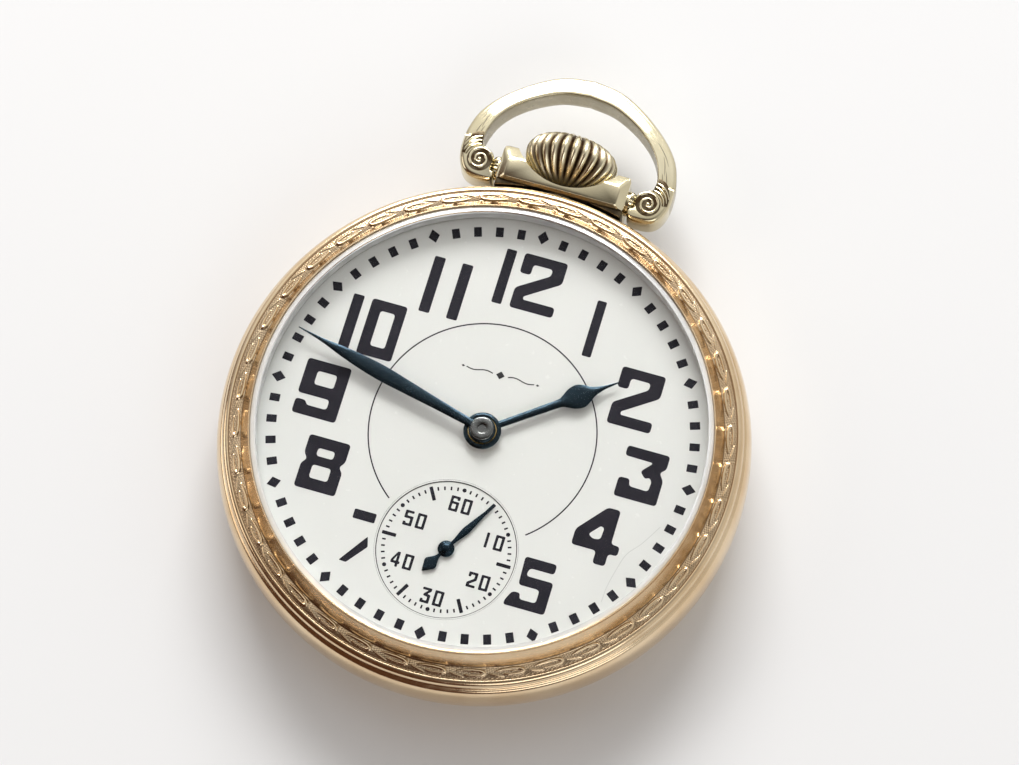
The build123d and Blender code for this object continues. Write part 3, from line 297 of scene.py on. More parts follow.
# painted light: the crown's gold is a brighter copy of the pale gold, standing for the broad highlight the
# crown catches
crown_gold_brightened = metal("crown_gold_brightened", (0.90, 0.82, 0.60), (0.80, 0.70, 0.47), (0.20, 0.30), 0.010,
                   (0.07, 0.035, 0.015))
steel = metal("steel", (0.52, 0.53, 0.54), (0.40, 0.40, 0.41), (0.16, 0.32), 0.01)
dark_steel = metal("dark_steel", (0.20, 0.205, 0.20), (0.07, 0.072, 0.07), (0.14, 0.34), 0.012)
silver = metal("silvered", (0.90, 0.90, 0.90), (0.80, 0.80, 0.81), (0.34, 0.50), 0.008)
gilt = metal("gilt_brass", (0.85, 0.62, 0.27), (0.72, 0.48, 0.18), (0.20, 0.36), 0.01)
spring = metal("spring_steel", (0.36, 0.37, 0.40), (0.24, 0.25, 0.28), (0.2, 0.36), 0.008)
blued = metal("blued_steel", (0.024, 0.038, 0.048), (0.015, 0.026, 0.036), (0.16, 0.30), 0.008)
screw_blue = metal("screw_blue", (0.04, 0.10, 0.38), (0.03, 0.06, 0.26), (0.14, 0.26), 0.008)


def nickel_material():
    """Nickel plates with broad straight stripes, as on a finished movement."""
    material, tree, bsdf = nodes_of("nickel_plate")
    bsdf.inputs["Metallic"].default_value = 1.0
    coords = tree.nodes.new("ShaderNodeTexCoord")
    mapping = tree.nodes.new("ShaderNodeMapping")
    mapping.inputs["Rotation"].default_value = (0, 0, math.radians(35))
    tree.links.new(coords.outputs["Object"], mapping.inputs[0])
    wave = tree.nodes.new("ShaderNodeTexWave")
    wave.wave_type = "BANDS"
    wave.bands_direction = "X"
    wave.wave_profile = "SAW"
    wave.inputs["Scale"].default_value = 130.0
    wave.inputs["Distortion"].default_value = 0.0
    tree.links.new(mapping.outputs[0], wave.inputs["Vector"])
    ticks = tree.nodes.new("ShaderNodeTexWave")
    ticks.wave_type = "RINGS"
    ticks.rings_direction = "Z"
    ticks.inputs["Scale"].default_value = 900.0
    ticks.inputs["Distortion"].default_value = 1.5
    tree.links.new(mapping.outputs[0], ticks.inputs["Vector"])
    cloud = texture(tree, 220.0, 5.0)
    stripes = ramp(tree, wave.outputs["Fac"], [(0.0, 0.0), (1.0, 1.0)])
    base = mix(tree, stripes, (0.74, 0.73, 0.70), (0.56, 0.56, 0.55))
    base = mix(tree, math_node(tree, "MULTIPLY", cloud, 0.3), base, (0.78, 0.74, 0.66))
    tree.links.new(base, bsdf.inputs["Base Color"])
    tree.links.new(ramp(tree, ticks.outputs["Fac"], [(0.1, 0.2), (0.9, 0.38)]), bsdf.inputs["Roughness"])
    fine = math_node(tree, "MULTIPLY", ticks.outputs["Fac"], 0.25)
    bump(tree, bsdf, math_node(tree, "ADD", wave.outputs["Fac"], fine), 0.5, 0.02)
    return material


def enamel_material():
    material, tree, bsdf = nodes_of("dial_enamel")
    cloud = texture(tree, 60.0, 3.0)
    pits = texture(tree, 1500.0, 2.0)
    base = mix(tree, cloud, (0.685, 0.70, 0.67), (0.725, 0.735, 0.705))
    tree.links.new(base, bsdf.inputs["Base Color"])
    tree.links.new(ramp(tree, pits, [(0.3, 0.16), (0.8, 0.30)]), bsdf.inputs["Roughness"])
    bsdf.inputs["Coat Weight"].default_value = 0.25
    bsdf.inputs["Coat Roughness"].default_value = 0.08
    bump(tree, bsdf, math_node(tree, "ADD", pits, cloud), 0.12, 0.01)
    return material


def surface(name, scale, detail, dark, pale, rough, relief, inputs):
    """A non-metal with a cloudy tint and uneven gloss; relief is the bump's strength and depth."""
    material, tree, bsdf = nodes_of(name)
    cloud = texture(tree, scale, detail)
    tree.links.new(mix(tree, cloud, dark, pale), bsdf.inputs["Base Color"])
    tree.links.new(ramp(tree, cloud, rough), bsdf.inputs["Roughness"])
    bump(tree, bsdf, cloud, *relief)
    for socket, value in inputs.items():
        bsdf.inputs[socket].default_value = value
    return material, tree, bsdf, cloud


def print_material():
    look = {"Specular IOR Level": 0.12}
    return surface("dial_print", 700.0, 4.0, (0.010, 0.009, 0.014), (0.026, 0.024, 0.032),
                   [(0.3, 0.35), (0.8, 0.55)], (0.3, 0.01), look)[0]


def fine_print_material(name, dark, pale):
    look = {"Specular IOR Level": 0.15}
    return surface(name, 900.0, 4.0, dark, pale, [(0.3, 0.4), (0.8, 0.6)], (0.2, 0.01), look)[0]


def glass_material():
    """Clear glass that mirrors more at low angles."""
    look = {"Transmission Weight": 1.0, "IOR": 1.01, "Coat Weight": 1.0, "Coat Roughness": 0.02}
    material, tree, bsdf, smears = surface("crystal_glass", 90.0, 4.0, (0.97, 0.98, 0.98), (1.0, 1.0, 1.0),
                                           [(0.4, 0.0), (0.8, 0.03)], (0.05, 0.01), look)
    facing = tree.nodes.new("ShaderNodeFresnel")
    facing.inputs["IOR"].default_value = 1.45
    tree.links.new(math_node(tree, "MULTIPLY", facing.outputs[0], 0.8), bsdf.inputs["Alpha"])
    return material


def glass_edge_glint_material():
    """Bevel of the glass, made whitish and half opaque: painted reflection for the bright band along the
    glass's edge.
    """
    look = {"Transmission Weight": 0.25, "IOR": 1.49, "Coat Weight": 1.0, "Coat Roughness": 0.05}
    material, tree, bsdf, smears = surface("crystal_bevel_glint", 400.0, 4.0, (0.86, 0.88, 0.88),
                                           (0.95, 0.96, 0.96),
                                           [(0.4, 0.10), (0.8, 0.22)], (0.1, 0.005), look)
    tree.links.new(ramp(tree, smears, [(0.2, 0.58), (0.8, 0.72)]), bsdf.inputs["Alpha"])
    return material


def ruby_material():
    look = {"Transmission Weight": 0.35, "IOR": 1.76}
    return surface("ruby", 900.0, 3.0, (0.42, 0.01, 0.06), (0.62, 0.03, 0.12),
                   [(0.3, 0.04), (0.8, 0.12)], (0.05, 0.005), look)[0]


nickel = nickel_material()
enamel = enamel_material()
ink = print_material()
fine_ink = fine_print_material("dial_fine_print", (0.022, 0.022, 0.024), (0.05, 0.05, 0.05))
hairline = fine_print_material("dial_hairline", (0.46, 0.47, 0.45), (0.60, 0.61, 0.58))
glass = glass_material()
glass_edge_glint = glass_edge_glint_material()
ruby = ruby_material()

BY_SLOT = {
    "case_gold": case_gold, "pale_gold": pale_gold, "crystal_glass": glass, "dial_enamel": enamel,
    "blued_steel": blued, "steel": steel, "nickel_plate": nickel, "gilt_brass": gilt, "ruby": ruby,
    "spring_steel": spring,
}
BY_NODE = {
    "plate_screws": screw_blue, "pallet_screw": screw_blue, "case_screws": screw_blue,
    "centre_arbor": dark_steel,
}
for entry in frame["record"]["subparts"]:
    node = frame["nodes"][entry["node"]]
    node.data.materials.clear()
    node.data.materials.append(BY_NODE.get(entry["node"], BY_SLOT[entry["material_slot"]]))


# ------------------------------------------------------------------ bezel with its chased border

MOTIFS = 40
PER_MOTIF = 48
BAND_IN, BAND_OUT = 22.88, 24.06


def bead(u, v, path, width):
    """Height of a rounded bead along a path, in the motif's own millimetres."""
    height = np.zeros_like(u)
    for (ax, ay, aw), (bx, by, bw) in zip(path, path[1:]):
        dx, dy = bx - ax, by - ay
        t = np.clip(((u - ax) * dx + (v - ay) * dy) / (dx * dx + dy * dy), 0, 1)
        radius = width * (aw + (bw - aw) * t)
        d = np.hypot(u - ax - t * dx, v - ay - t * dy) / radius
        height = np.maximum(height, np.sqrt(np.clip(1 - d * d, 0, 1)) * (0.4 + 0.6 * radius / width))
    return height


def chasing(theta, across):
    """Raised hairpin scrolls in a row with small leaves between them; across is 0 inside and 1 outside."""
    length = TAU * (BAND_IN + BAND_OUT) / 2 / MOTIFS
    turn = theta / TAU * MOTIFS
    number = np.floor(turn)
    wobble = 0.5 + 0.5 * np.sin(number * 12.9898) * np.cos(number * 4.1)
    u = (turn - number) * length
    v = across * (BAND_OUT - BAND_IN)
    pin = [(0.75, 0.40, 0.35), (1.4, 0.29, 0.8), (2.2, 0.25, 1.1), (2.95, 0.31, 1.15), (3.28, 0.46, 1.15),
           (3.33, 0.62, 1.1), (3.12, 0.76, 0.9),
           (2.6, 0.80, 0.75), (1.9, 0.78, 0.6), (1.5, 0.72, 0.3)]
    leaf = [(0.1, 0.60, 0.3), (0.45, 0.70, 0.75), (0.95, 0.84, 0.8), (1.5, 0.95, 0.3)]
    leaf_two = [(3.45, 0.16, 0.3), (3.0, 0.10, 0.6), (2.4, 0.08, 0.3)]
    inner = [(1.95, 0.50, 0.25), (2.4, 0.50, 0.55), (2.75, 0.53, 0.2)]
    height = np.zeros_like(u)
    for shift in (-length, 0.0, length):
        w = u - shift
        height = np.maximum(height, bead(w, v, pin, 0.15))
        height = np.maximum(height, 0.65 * bead(w, v, leaf, 0.11))
        height = np.maximum(height, 0.5 * bead(w, v, leaf_two, 0.09))
        height = np.maximum(height, (0.2 + 0.3 * wobble) * bead(w, v, inner, 0.08))
    edge = np.minimum(across, 1 - across)
    line = np.clip(1 - np.abs(edge - 0.04) / 0.03, 0, 1) * 0.35
    height = np.maximum(height, line)
    strokes = np.sin(u * 21.0 + v * 13.0 + 5 * wobble) * np.sin(u * 7.3 - v * 17.0 + number * 2.4)
    hatch = strokes * np.clip(1 - 2 * height, 0, 1)
    return height * (0.85 + 0.3 * wobble), hatch


def build_bezel():
    """Inner slope, chased band and rolled rim, turned from one closed profile."""
    columns = MOTIFS * PER_MOTIF
    steps = 30
    rim_in = [(21.52, 9.62), (21.52, 10.3), (21.52, 11.05), (21.58, 11.12), (21.84, 11.12), (21.9, 11.18),
              (21.9, 11.78)]
    lip = smooth_line([(21.905, 11.84), (21.93, 11.92), (21.975, 11.935), (22.02, 11.88), (22.07, 11.72)], 3)
    slope = smooth_line([(22.09, 11.66), (22.28, 11.2), (22.5, 10.72), (22.66, 10.4), (22.76, 10.2),
                         (22.82, 10.09), (22.87, 10.03)], 3)
    rim_out = smooth_line([(24.085, 9.85), (24.13, 9.89), (24.25, 9.9), (24.45, 9.83), (24.62, 9.68),
                           (24.72, 9.46), (24.7, 9.22), (24.62, 9.12)], 4)
    under = [(23.9, 9.115), (23.16, 9.115), (23.16, 9.55), (23.1, 9.6), (22.2, 9.61)]
    across = np.linspace(0, 1, steps)
    band_r = BAND_IN + (BAND_OUT - BAND_IN) * across
    band_z = 10.02 + 0.05 * np.sin(across * math.pi * 0.8) - 0.17 * across ** 3
    profile = np.vstack([rim_in, lip, slope, np.column_stack([band_r, band_z]), rim_out, under])
    start = len(rim_in) + len(lip) + len(slope)
    stop = start + steps
    points = lathe_z(profile, columns)
    theta = np.arange(columns) * TAU / columns
    size = (steps, columns)
    height, hatch = chasing(np.broadcast_to(theta, size), np.broadcast_to(across[:, None], size))
    lift = 0.115 * height - 0.08 + 0.016 * hatch
    lift[[0, -1]] = -0.02
    points[start:stop, :, 2] += lift
    cav = np.zeros(points.shape[:2])
    cav[start:stop] = np.clip(0.42 - 1.2 * height + 0.8 * hatch, 0, 1) * 0.95
    cav[start - 3:start + 1] = 0.9
    cav[stop - 2:stop + 1] = 0.9
    shape = Shape()
    shape.grid(points, wrap_rows=True, wrap_columns=True, cav=cav)
    shape.make("bezel_chased", case_gold, "bezel", "case_gold", ("bezel",), sharp=50)


build_bezel()

ring = Shape()
ring.turned([(21.5, 9.62), (21.44, 9.64), (21.42, 9.7), (21.42, 10.3), (21.45, 10.36), (21.42, 10.42),
             (21.42, 11.05), (21.5, 11.1)], 480)
ring.make("tension_ring", silver, "bezel", "steel", sharp=40)


# ------------------------------------------------------------------ band and back of the case

def build_case():
    """Band with its full belly between two rolled lips."""
    groove = 24.58
    ledge = [(22.4, 6.1), (21.2, 6.1), (21.2, 7.9), (21.75, 7.9), (21.75, 9.5), (23.1, 9.5), (23.1, 9.08)]
    lip_above = [(24.5, 9.08), (24.66, 9.05), (24.75, 8.95), (24.74, 8.78), (24.62, 8.68), (groove, 8.64),
                 (24.62, 8.6)]
    sweep = np.linspace(math.pi / 2, -math.pi / 2, 25)
    belly = [(24.75 + 0.75 * math.cos(a), MID + 2.5 * math.sin(a)) for a in sweep]
    lip_below = [(24.62, 3.4), (groove, 3.36), (24.62, 3.32), (24.74, 3.2), (24.75, 3.06), (24.66, 2.96)]
    seat = [(23.4, 2.95), (23.4, 2.5), (22.4, 2.5)]
    profile = ledge + lip_above + belly + lip_below + seat
    above, below = [index for index, (r, z) in enumerate(profile) if r == groove]
    points = lathe_z(profile, 720)
    cav = np.zeros(points.shape[:2])
    cav[[above, below]] = 0.9
    cav[above + 1] = 0.6
    shape = Shape()
    shape.grid(points, wrap_rows=True, wrap_columns=True, cav=cav)
    shape.make("case_band", case_gold, "case", "case_gold", ("case_center",), sharp=40)


build_case()


def build_back():
    """Back cover: a smooth dome, a chased ring near its edge and a plain flat in the middle."""
    count = 1440
    ring_in, ring_out = 20.0, 22.4
    outer = [(r, 0.0) for r in np.linspace(0.02, 13.6, 12)]
    outer += [tuple(q) for q in smooth_line([(14.0, 0.004), (17.0, 0.24), (20.0, 0.75), (22.0, 1.24),
                                             (23.6, 1.76), (24.4, 2.18), (24.7, 2.6)], 10)]
    outer += [(24.74, 2.8), (24.7, 2.92)]
    inner = [(23.45, 2.92), (23.45, 2.4), (22.2, 2.4)]
    inner += [tuple(q) for q in smooth_line([(22.1, 2.2), (20.0, 1.34), (17.0, 0.8), (13.7, 0.56)],
                                            5)] + [(7.0, 0.55), (0.02, 0.55)]
    profile = np.array(outer + inner)
    points = lathe_z(profile, count)
    theta = np.arange(count) * TAU / count
    cav = np.zeros(points.shape[:2])
    for i, (r, z) in enumerate(outer):
        if ring_in < r < ring_out:
            share = (r - ring_in) / (ring_out - ring_in)
            fade = min(1.0, 6 * min(share, 1 - share))
            height, hatch = chasing(theta, np.full(count, share))
            points[i, :, 2] -= (0.05 * height - 0.035) * fade
            cav[i] = np.clip(0.8 - 1.5 * height, 0, 1) * fade * 0.7
    shape = Shape()
    shape.grid(points, wrap_rows=True, wrap_columns=True, cav=cav)
    shape.make("back_cover", case_gold, "back", "case_gold", ("case_back",), sharp=40)


build_back()


def build_crystal():
    """Domed glass, and a whitish bevel round its edge that is painted reflection."""
    top = smooth_line([(0.02, 13.0), (6.0, 12.92), (11.0, 12.72), (16.5, 12.33), (21.2, 11.86),
                       (21.7, 11.76)], 6)
    edge = [(21.84, 11.66), (21.87, 11.45), (21.87, 11.2), (21.82, 11.14)]
    below = smooth_line([(20.6, 11.14), (16.0, 11.55), (11.0, 11.83), (6.0, 12.02), (0.02, 12.1)], 6)
    dome = Shape()
    dome.turned(np.vstack([top, edge, below]), 360)
    dome.make("watch_glass", glass, "bezel", "crystal_glass", ("crystal",), sharp=30)
    # the whitish bevel is painted reflection: the bright band along the glass's edge
    bevel = Shape()
    bevel.turned([(21.36, 11.84), (21.7, 11.772), (21.85, 11.672), (21.876, 11.6), (21.876, 11.3),
                  (21.8, 11.3), (21.8, 11.6),
                  (21.36, 11.8)], 360)
    bevel.make("glass_bevel", glass_edge_glint, "bezel", "crystal_glass", sharp=30)


build_crystal()


# ------------------------------------------------------------------ crown

def build_crown():
    """Ribbed crown: the grooves between its ridges fade out at its foot and towards its cap."""
    flutes, per = 26, 16
    columns = flutes * per
    side = smooth_line([(1.75, 26.47), (2.7, 26.98), (3.5, 27.6), (4.15, 28.35), (4.52, 29.1), (4.58, 29.8),
                        (4.25, 30.6), (3.55, 31.15), (2.75, 31.5), (2.2, 31.6)], 6)
    cap = [(2.05, 31.56), (1.9, 31.58), (1.2, 31.69), (0.5, 31.74), (0.02, 31.75)]
    hollow = [(0.02, 30.9), (1.62, 30.9), (1.62, 28.3), (1.06, 28.3), (1.06, 26.45), (1.12, 26.4),
              (1.6, 26.42)]
    profile = np.vstack([side, cap, hollow])
    t = np.arange(columns) * TAU / columns
    ridge = np.abs(np.cos(t * flutes / 2))
    groove = 1 - ridge ** 1.1
    pts = np.zeros((len(profile), columns, 3))
    cav = np.zeros((len(profile), columns))
    for i, (r, y) in enumerate(profile):
        fade = 0.0
        if i < len(side):
            s = i / (len(side) - 1)
            fade = min(1.0, s * 5, (1 - s) * 6)
        radius = r - 0.44 * fade * groove
        pts[i, :, 0] = radius * np.cos(t)
        pts[i, :, 1] = y - 0.10 * fade * groove * np.clip(y - 29.4, -1, 1)
        pts[i, :, 2] = MID + radius * np.sin(t)
        cav[i] = np.clip(groove * 1.9 - 0.3, 0, 1) * fade
        # painted shade: the crown's foot, next to the pendant, is darkened as well
        if i < len(side):
            cav[i] += 0.6 * np.clip(27.6 - y, 0, 1)
    shape = Shape()
    shape.grid(pts, wrap_rows=True, wrap_columns=True, cav=cav)
    shape.make("crown_ribbed", crown_gold_brightened, "crown", "pale_gold", ("crown",), sharp=60)


build_crown()


# ------------------------------------------------------------------ pendant

def build_pendant():
    """Saddle block: its outline changes with depth, so that the shoulders and ends have facets."""
    shape = Shape()
    scoop_height = 31.98  # middle of the hollow under the crown
    face_depth = 2.8
    levels = [0.0, 2.1, 2.15, 2.3, 2.5, 2.66, 2.77, face_depth]
    rows = []
    for h in [-level for level in levels[:0:-1]] + levels:
        depth = abs(h)
        worn = 1 if depth == face_depth else 0
        half = 6.4 - max(0.0, depth - 2.2) * 1.25 - 0.03 * worn
        top = 28.83 - max(0.0, depth - 2.13) * 2.0 - 0.03 * worn
        foot = 25.32 + max(0.0, depth - 2.5) * 0.8
        scoop = 5.93 + 0.04 * worn
        corner = math.sqrt(scoop ** 2 - (scoop_height - top) ** 2)
        reach = math.asin(corner / scoop)
        side = [(-half + 0.45, top), (-half + 0.12, top - 0.1), (-half, top - 0.4), (-half, 27.0),
                (-half, foot + 0.3), (-half + 0.1, foot + 0.08), (-half + 0.35, foot)]
        middle = [(-3.0, foot), (0, foot), (3.0, foot)]
        outline = [(-corner, top)] + side + middle + [(-x, y) for x, y in side[::-1]] + [(corner, top)]
        angles = np.linspace(reach, -reach, 43)[1:-1]
        outline += [(scoop * math.sin(a), scoop_height - scoop * math.cos(a)) for a in angles]
        rows.append([(x, y, MID + h) for x, y in outline])
    pts = np.array(rows)
    under, hollow = slice(7, 12), slice(26, 52)
    cav = np.zeros(pts.shape[:2])
    # painted shade: the foot under the block is darkened strongly and the front and back faces a little, for
    # the shade and dim reflection there; the scoop under the crown is darker too
    cav[:, hollow] = 0.45
    cav[1:-1, under] = 0.8
    cav[[0, -1]] = 0.33
    shape.grid(pts, wrap_columns=True, caps=True, cav=cav)
    neck = [(x, math.sqrt(25.48 ** 2 - x * x)) for x in np.linspace(-6.33, 6.33, 41)]
    # the neck is darkened nearly to the full brown: painted shade in the gap under the block
    prism(shape, neck + [(6.33, 25.42), (-6.33, 25.42)], MID - 2.15, MID + 2.15, 0.1, cav=0.95)
    shape.make("pendant_saddle", pale_gold, "case", "pale_gold", ("pendant",), sharp=25)


build_pendant()


# ------------------------------------------------------------------ bow with its scrolls

BOW_DEPTH = 1.6  # half of the bow's depth
FACE_FALL = 0.24  # slope of the bow's faces towards its outside, as a share of BOW_DEPTH
FACE_START = 0.07  # where that slope starts, as a share of the bow's width
SCROLL = (8.5, 26.92)


def arch_edges():
    """Inner and outer edge of the arch, from one scroll over the top to the other."""
    inside = [(8.7, 27.3), (8.8, 28.3), (8.75, 29.0), (8.55, 30.2), (7.9, 31.75), (6.65, 33.25), (4.8, 34.6),
              (2.5, 35.64), (0, 36.0)]
    outside = [(10.32, 26.6), (10.58, 27.3), (10.66, 28.4), (10.5, 30.0), (9.78, 32.0), (8.15, 34.0),
               (5.55, 36.05), (2.9, 37.4), (0, 37.88)]
    halves = [smooth_line(points, 8) for points in (inside, outside)]
    return [np.vstack([half, half[::-1][1:] * [-1, 1]]) for half in halves]


def add_arch(shape, inner, outer):
    """Sweeps a section along the arch: u runs across from inside to outside, w along the depth."""
    inside = [(0.0, w) for w in np.linspace(-0.93, 0.93, 7)]
    face = [(0.012, 0.97), (0.035, 0.99), (FACE_START, 1.0)]
    face += [(u, 1.0 - FACE_FALL * (u - FACE_START)) for u in np.linspace(0.2, 0.68, 5)]
    corner = np.linspace(0.1, math.pi / 2, 8)
    face += [(0.74 + 0.26 * math.sin(a), 0.64 + 0.20 * math.cos(a)) for a in corner]
    outside = [(1.0, w) for w in np.linspace(0.5, -0.5, 5)]
    section = np.array(inside + face + outside + [(u, -w) for u, w in face[::-1]])
    u, w = section[:, 0], section[:, 1]
    pts = np.zeros((len(outer), len(section), 3))
    pts[..., :2] = inner[:, None] + (outer - inner)[:, None] * u[None, :, None]
    pts[..., 2] = MID + BOW_DEPTH * w
    cav = np.zeros(pts.shape[:2])
    # painted shade: the inner wall is darkened with the brown for the dark reflection and shade it shows; the
    # outer wall is darkened too, and the faces' inner edges a little
    cav[:, :7] = 0.62
    cav[:, 20:31] = 0.5
    cav[:, [7, 8, -2, -1]] = 0.3
    shape.grid(pts, wrap_columns=True, caps=True, cav=cav)


def add_ends(shape):
    """Flat ends of the bow, which carry the scrolls; the third value is how soft the edge is."""
    end = [(8.75, 29.3, 0.1), (8.72, 28.8, 0.1), (8.45, 28.45, 0.1), (7.9, 28.2, 0.14), (7.45, 27.95, 0.14),
           (7.22, 27.6, 0.14), (7.2, 26.9, 0.14), (7.2, 26.35, 0.14), (7.1, 26.15, 0.14),
           (6.85, 26.06, 0.14),
           (6.74, 25.8, 0.14), (6.76, 25.45, 0.2), (7.0, 25.15, 0.3), (7.5, 25.03, 0.4), (8.5, 25.02, 0.45),
           (9.3, 25.2, 0.48), (9.9, 25.65, 0.5), (10.32, 26.35, 0.5), (10.56, 27.2, 0.48),
           (10.64, 28.3, 0.45),
           (10.58, 29.3, 0.42)]
    end = smooth_line(end, 3)
    for side in (1, -1):
        prism(shape, end[:, :2] * [side, 1], MID - BOW_DEPTH, MID + BOW_DEPTH, end[:, 2], 6, cav=0.12)


def add_scroll(shape, side, face):
    """Spiral bead round an eye on a dark ground, and three ridges that fan out above it."""
    cx, cy = side * SCROLL[0], SCROLL[1]
    top = MID + face * BOW_DEPTH

    def on_face(x, y, height):
        return np.column_stack([cx + x, cy + y, np.full(len(x), top + face * height)])

    ground = [(0.02, 0.012), (1.22, 0.012), (1.26, -0.05)]
    eye = [(0.02, 0.10), (0.1, 0.09), (0.17, 0.04), (0.18, -0.02)]
    shape.turned([(r, top + face * z) for r, z in ground], 72, (cx, cy), closed=False, cav=1.0)
    shape.turned([(r, top + face * z) for r, z in eye], 24, (cx, cy), closed=False)

    t = np.linspace(0, 1, 110)
    angle = math.pi / 2 + side * (0.9 - 3.5 * math.pi * t)
    radius = 1.22 - 0.98 * t ** 0.9
    path = on_face(radius * np.cos(angle), radius * np.sin(angle), 0.01)
    shape.grid(tube(path, 0.15 * (1 - 0.35 * t), 12, flat=0.75), wrap_columns=True, caps=True)

    spread = np.linspace(0.12, 1.5, 25)
    reach = 2.0 + 0.85 * np.sin(spread) ** 2
    near = 1.3 * np.array([np.cos(spread), np.sin(spread)])
    far = reach * np.array([0.93 * np.cos(spread) ** 0.8, np.sin(spread)])
    patch = []
    for share, height in ((0.0, -0.02), (0.06, 0.006), (0.5, 0.006), (0.94, 0.006), (1.0, -0.02)):
        x, y = near * (1 - share) + far * share
        patch.append(on_face(side * x, y, height))
    shape.grid(np.array(patch), cav=1.0)
    taper = 0.145 * np.sin(np.linspace(0.2, math.pi - 0.2, 30)) ** 0.5
    for k, radius in enumerate((1.52, 1.92, 2.34)):
        sweep = np.linspace(0.1 + 0.16 * k, 1.42 - 0.02 * k, 30)
        path = on_face(side * radius * np.cos(sweep) * (0.98 - 0.07 * k), radius * np.sin(sweep), 0.005)
        shape.grid(tube(path, taper, 8, flat=0.8), wrap_columns=True, caps=True)


def add_strokes(shape, inner, outer):
    """Worn engraved strokes on the shoulders of the arch."""
    t = np.linspace(0, 1, 12)
    swell = np.sin(math.pi * (0.06 + 0.88 * t))
    index = np.arange(len(outer))
    # places along the arch, shares across it, half width
    strokes = [(15, 25, 0.30, 0.24, 0.07), (18, 27, 0.52, 0.44, 0.06), (24, 33, 0.34, 0.46, 0.06),
               (29, 39, 0.60, 0.50, 0.05)]
    both_sides = [(*stroke, order) for stroke in strokes for order in (1, -1)]
    for first, last, low, high, half, order in both_sides:
        along = first + (last - first) * t
        u = low + (high - low) * t
        a, b = [np.column_stack([np.interp(along, index, edge[::order, k]) for k in (0, 1)])
                for edge in (inner, outer)]
        across = (b - a) / np.linalg.norm(b - a, axis=1)[:, None]
        middle = a + (b - a) * u[:, None]
        for face in (1, -1):
            level = MID + face * BOW_DEPTH * (1 - FACE_FALL * (u - FACE_START))
            rows = []
            for share, lift in ((-1, -0.03), (-0.8, 0.012), (0.8, 0.012), (1, -0.03)):
                line = middle + across * (share * half * swell)[:, None]
                rows.append(np.column_stack([line, level + face * lift]))
            shape.grid(np.array(rows), cav=0.75)


def build_bow():
    inner, outer = arch_edges()
    shape = Shape()
    add_arch(shape, inner, outer)
    add_ends(shape)
    for side, face in ((1, 1), (1, -1), (-1, 1), (-1, -1)):
        add_scroll(shape, side, face)
    add_strokes(shape, inner, outer)
    shape.make("bow_scrolled", pale_gold, "bow", "pale_gold", ("bow",), sharp=32)


build_bow()


def build_collars():
    """Ribbed collars on the pivots, between the scrolls and the pendant."""
    ribs, height = 20, 0.09
    turns = np.arange(120) * TAU / 120
    groove = 0.5 - 0.5 * np.cos(turns * ribs)
    # place along the pivot, radius, share of the groove
    stations = [(6.41, 0.72, 0), (6.42, 1.05, 0.3), (6.5, 1.16, 1), (6.68, 1.18, 1), (6.95, 1.14, 1),
                (7.14, 1.06, 1), (7.19, 0.96, 0.3), (7.2, 0.72, 0)]
    cav = np.array([0.9 * groove * share for x, r, share in stations])
    collars = Shape()
    for side in (1, -1):
        rows = []
        for x, r, share in stations:
            radius = r - share * height * groove
            y, z = 26.95 + radius * np.cos(turns), MID + radius * np.sin(turns)
            rows.append(np.column_stack([np.full(len(turns), side * x), y, z]))
        collars.grid(np.array(rows), wrap_rows=True, wrap_columns=True, cav=cav)
    collars.make("bow_collars", pale_gold, "case", "pale_gold", sharp=40)


build_collars()


# ------------------------------------------------------------------ print on the dial

def outline_piece(name, loops, z, material):
    """Flat figures from closed outlines in millimetres; loops inside others are holes."""
    thick = 0.012
    curve = bpy.data.curves.new(name, "CURVE")
    curve.dimensions = "2D"
    curve.fill_mode = "BOTH"
    curve.extrude = thick * MM / 2
    for loop in loops:
        spline = curve.splines.new("POLY")
        spline.points.add(len(loop) - 1)
        for point, (x, y) in zip(spline.points, loop):
            point.co = (x * MM, y * MM, 0, 1)
        spline.use_cyclic_u = True
    temp = bpy.data.objects.new(name + "_curve", curve)
    temp.location = (0, 0, (z + thick / 2) * MM)
    bpy.context.scene.collection.objects.link(temp)
    bpy.context.view_layer.update()
    mesh = bpy.data.meshes.new_from_object(temp.evaluated_get(bpy.context.evaluated_depsgraph_get()))
    mesh.transform(temp.matrix_world)
    bpy.data.objects.remove(temp)
    place_piece(name, mesh, material, "case")


